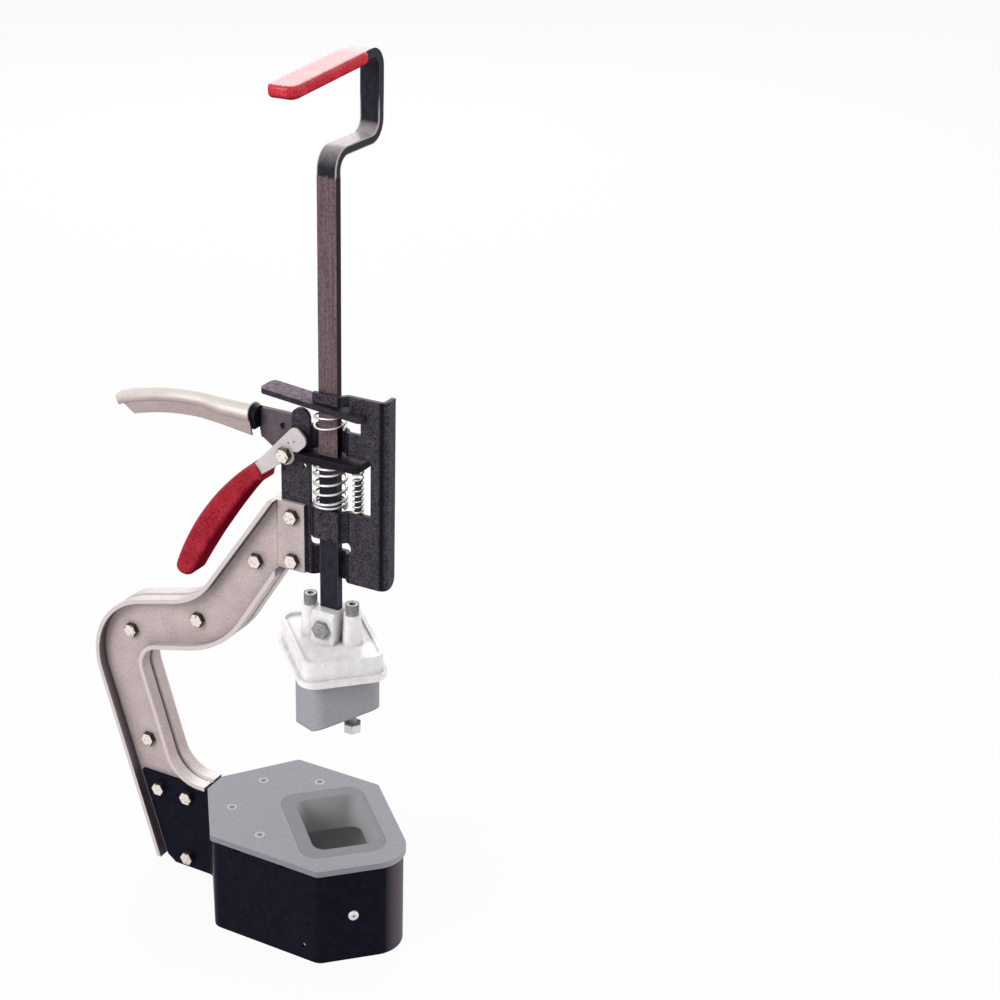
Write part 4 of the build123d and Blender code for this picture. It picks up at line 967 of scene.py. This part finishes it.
# Knurl in two bands on the heads of the cap screws that clamp the punch
capScrewsAt = [-0.0187, 0.0187]
knurlSize = dict(radius=0.005, ridge=0.00042, count=30)
knurlBands = {"headKnurlA": (0.2846, 0.0034), "headKnurlB": (0.2884, 0.0026)}
knurlTree = makeKnurlTree()
for name, (middle, height) in knurlBands.items():
    values = {
        "Radius": knurlSize["radius"], "Ridge": knurlSize["ridge"], "Height": height,
        "Count": knurlSize["count"], "Finish": finishes["dullPlate"],
    }
    places = pointsMesh("heads", [(x, 0, middle) for x in capScrewsAt])
    knurl = fromTree(name, knurlTree, values, places)
    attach(knurl, "ram")

# Threads at the ends of the bolts, and on the shanks of the cap screws
threadTree = makeThreadTree()
endThreadSize = dict(radius=0.00305, crest=0.00035, pitch=0.0009, turns=1.8, back=0.0018)
shankThreadSize = dict(radius=0.00288, crest=0.0004, pitch=0.001, turns=8.0, low=0.1870)


def wind(name, size, places, turn, finish):
    return fromTree(name, threadTree, {
        "Core Radius": size["radius"], "Crest": size["crest"], "Pitch": size["pitch"],
        "Turns": size["turns"], "Lean": turn, "Finish": finish,
    }, pointsMesh(name, places))


endThreads = {
    "neckThread": ("frame", "neck_bolts"), "tabThread": ("frame", "tab_bolts"),
    "baseThread": ("frame", "base_bolts"), "pivotThread": ("frame", "pivot_bolt"),
    "crossThread": ("ram", "cross_bolt"),
}
for name, (body, node) in endThreads.items():
    ends = [end - Vector((0, endThreadSize["back"], 0)) for end in endsOf(node, axis=1)]
    piece = wind(name, endThreadSize, ends, -math.pi / 2, finishes["zincPlate"])
    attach(piece, body)
    print(name, len(ends), "ends")
shanks = [(x, 0, shankThreadSize["low"]) for x in capScrewsAt]
shankThread = wind("shankThread", shankThreadSize, shanks, 0.0, finishes["dullPlate"])
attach(shankThread, "ram")

# Weld of the handle's arm to the head plate
weldSize = dict(
    path=[
        (-0.0330, 0.0022, 0.4342), (-0.0285, 0.0022, 0.4342), (-0.0248, 0.0022, 0.4329),
        (-0.0217, 0.0022, 0.4304), (-0.0198, 0.0022, 0.4272), (-0.0193, 0.0022, 0.4225),
        (-0.0193, 0.0022, 0.4160),
    ],
    radius=0.0013, ripples=22.0, depth=0.16,
)
runs = [(step, step + 1) for step in range(len(weldSize["path"]) - 1)]
armWeld = fromTree("armWeld", makeBeadTree(), {
    "Radius": weldSize["radius"], "Ripples": weldSize["ripples"], "Depth": weldSize["depth"],
    "Finish": enamel("blackEnamel", blackLook),
}, pointsMesh("weldPath", weldSize["path"], runs))
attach(armWeld, "frame")
print("details made")


def seenDirectly(tree):
    # 1 for rays from the camera and for what shows in metal and glass
    path = addNode(tree, "ShaderNodeLightPath").outputs
    either = calc(tree, "MAXIMUM", path["Is Camera Ray"], path["Is Glossy Ray"])
    return calc(tree, "MAXIMUM", either, path["Is Transmission Ray"])


# Floor: pale, and lifted towards white where it is seen
floorLook = dict(half=30.0, drop=0.0006, colour=(0.9, 0.9, 0.9, 1), rough=0.9, lift=0.93)
half = floorLook["half"]
floorMesh = bpy.data.meshes.new("floor")
corners = [(-half, -half, 0), (half, -half, 0), (half, half, 0), (-half, half, 0)]
floorMesh.from_pydata(corners, [], [(0, 1, 2, 3)])
floor = linkPiece("floor", floorMesh)
floor.location.z = -floorLook["drop"]
paleFloor, floorTree, floorShader = newMaterial("paleFloor", 0.0, 0.0)
values = {"Base Color": floorLook["colour"], "Roughness": floorLook["rough"]}
shaded = feed(floorTree, floorShader, values)[0]
glow = addNode(floorTree, "ShaderNodeEmission").outputs[0]
lifted = times(floorTree, seenDirectly(floorTree), floorLook["lift"])
surface = fed(floorTree, "ShaderNodeMixShader", {0: lifted, 1: shaded, 2: glow})[0]
feed(floorTree, floorTree.nodes["Material Output"], {"Surface": surface})
floorMesh.materials.append(paleFloor)

# World and lamps
ambientLevel = 0.3
world = bpy.data.worlds.new("studio")
bpy.context.scene.world = world
world.use_nodes = True
worldTree = world.node_tree
strength = spread(worldTree, seenDirectly(worldTree), 0.0, 1.0, ambientLevel, 1.0)
feed(worldTree, worldTree.nodes["Background"], {"Color": (1, 1, 1, 1), "Strength": strength})
lamps = {
    "keyLamp": dict(place=(-0.9, -1.9, 1.6), aim=(-0.05, 0, 0.35), size=1.4, power=42.0),
    "sideLamp": dict(place=(1.9, 1.0, 0.9), aim=(0, 0, 0.35), size=1.4, power=20.0),
    "rearLamp": dict(place=(-1.6, 2.5, 1.9), aim=(-0.05, 0, 0.4), size=2.0, power=45.0),
    "topLamp": dict(place=(0.1, 0.3, 2.4), aim=(-0.05, 0, 0.2), size=1.8, power=5.0),
}
for name, lamp in lamps.items():
    light = bpy.data.lights.new(name, "AREA")
    light.size = lamp["size"]
    light.energy = lamp["power"]
    holder = linkPiece(name, light)
    holder.location = lamp["place"]
    aim = Vector(lamp["aim"]) - Vector(lamp["place"])
    holder.rotation_mode = "QUATERNION"
    holder.rotation_quaternion = aim.to_track_quat("-Z", "Y")

# Camera at the photograph's viewing angle
view = dict(
    place=(0.71405, -1.16126, 0.98851), turn=30.69, fall=24.31, lens=72.0, sensor=36.0, shift=0.1408,
)
cameraData = bpy.data.cameras.new("camera")
cameraData.lens = view["lens"]
cameraData.sensor_width = view["sensor"]
cameraData.shift_x = view["shift"]
camera = linkPiece("camera", cameraData)
camera.location = view["place"]
camera.rotation_euler = (math.radians(90 - view["fall"]), 0, math.radians(view["turn"]))
bpy.context.scene.camera = camera
bpy.context.scene.view_settings.view_transform = "Standard"
print("stage set")
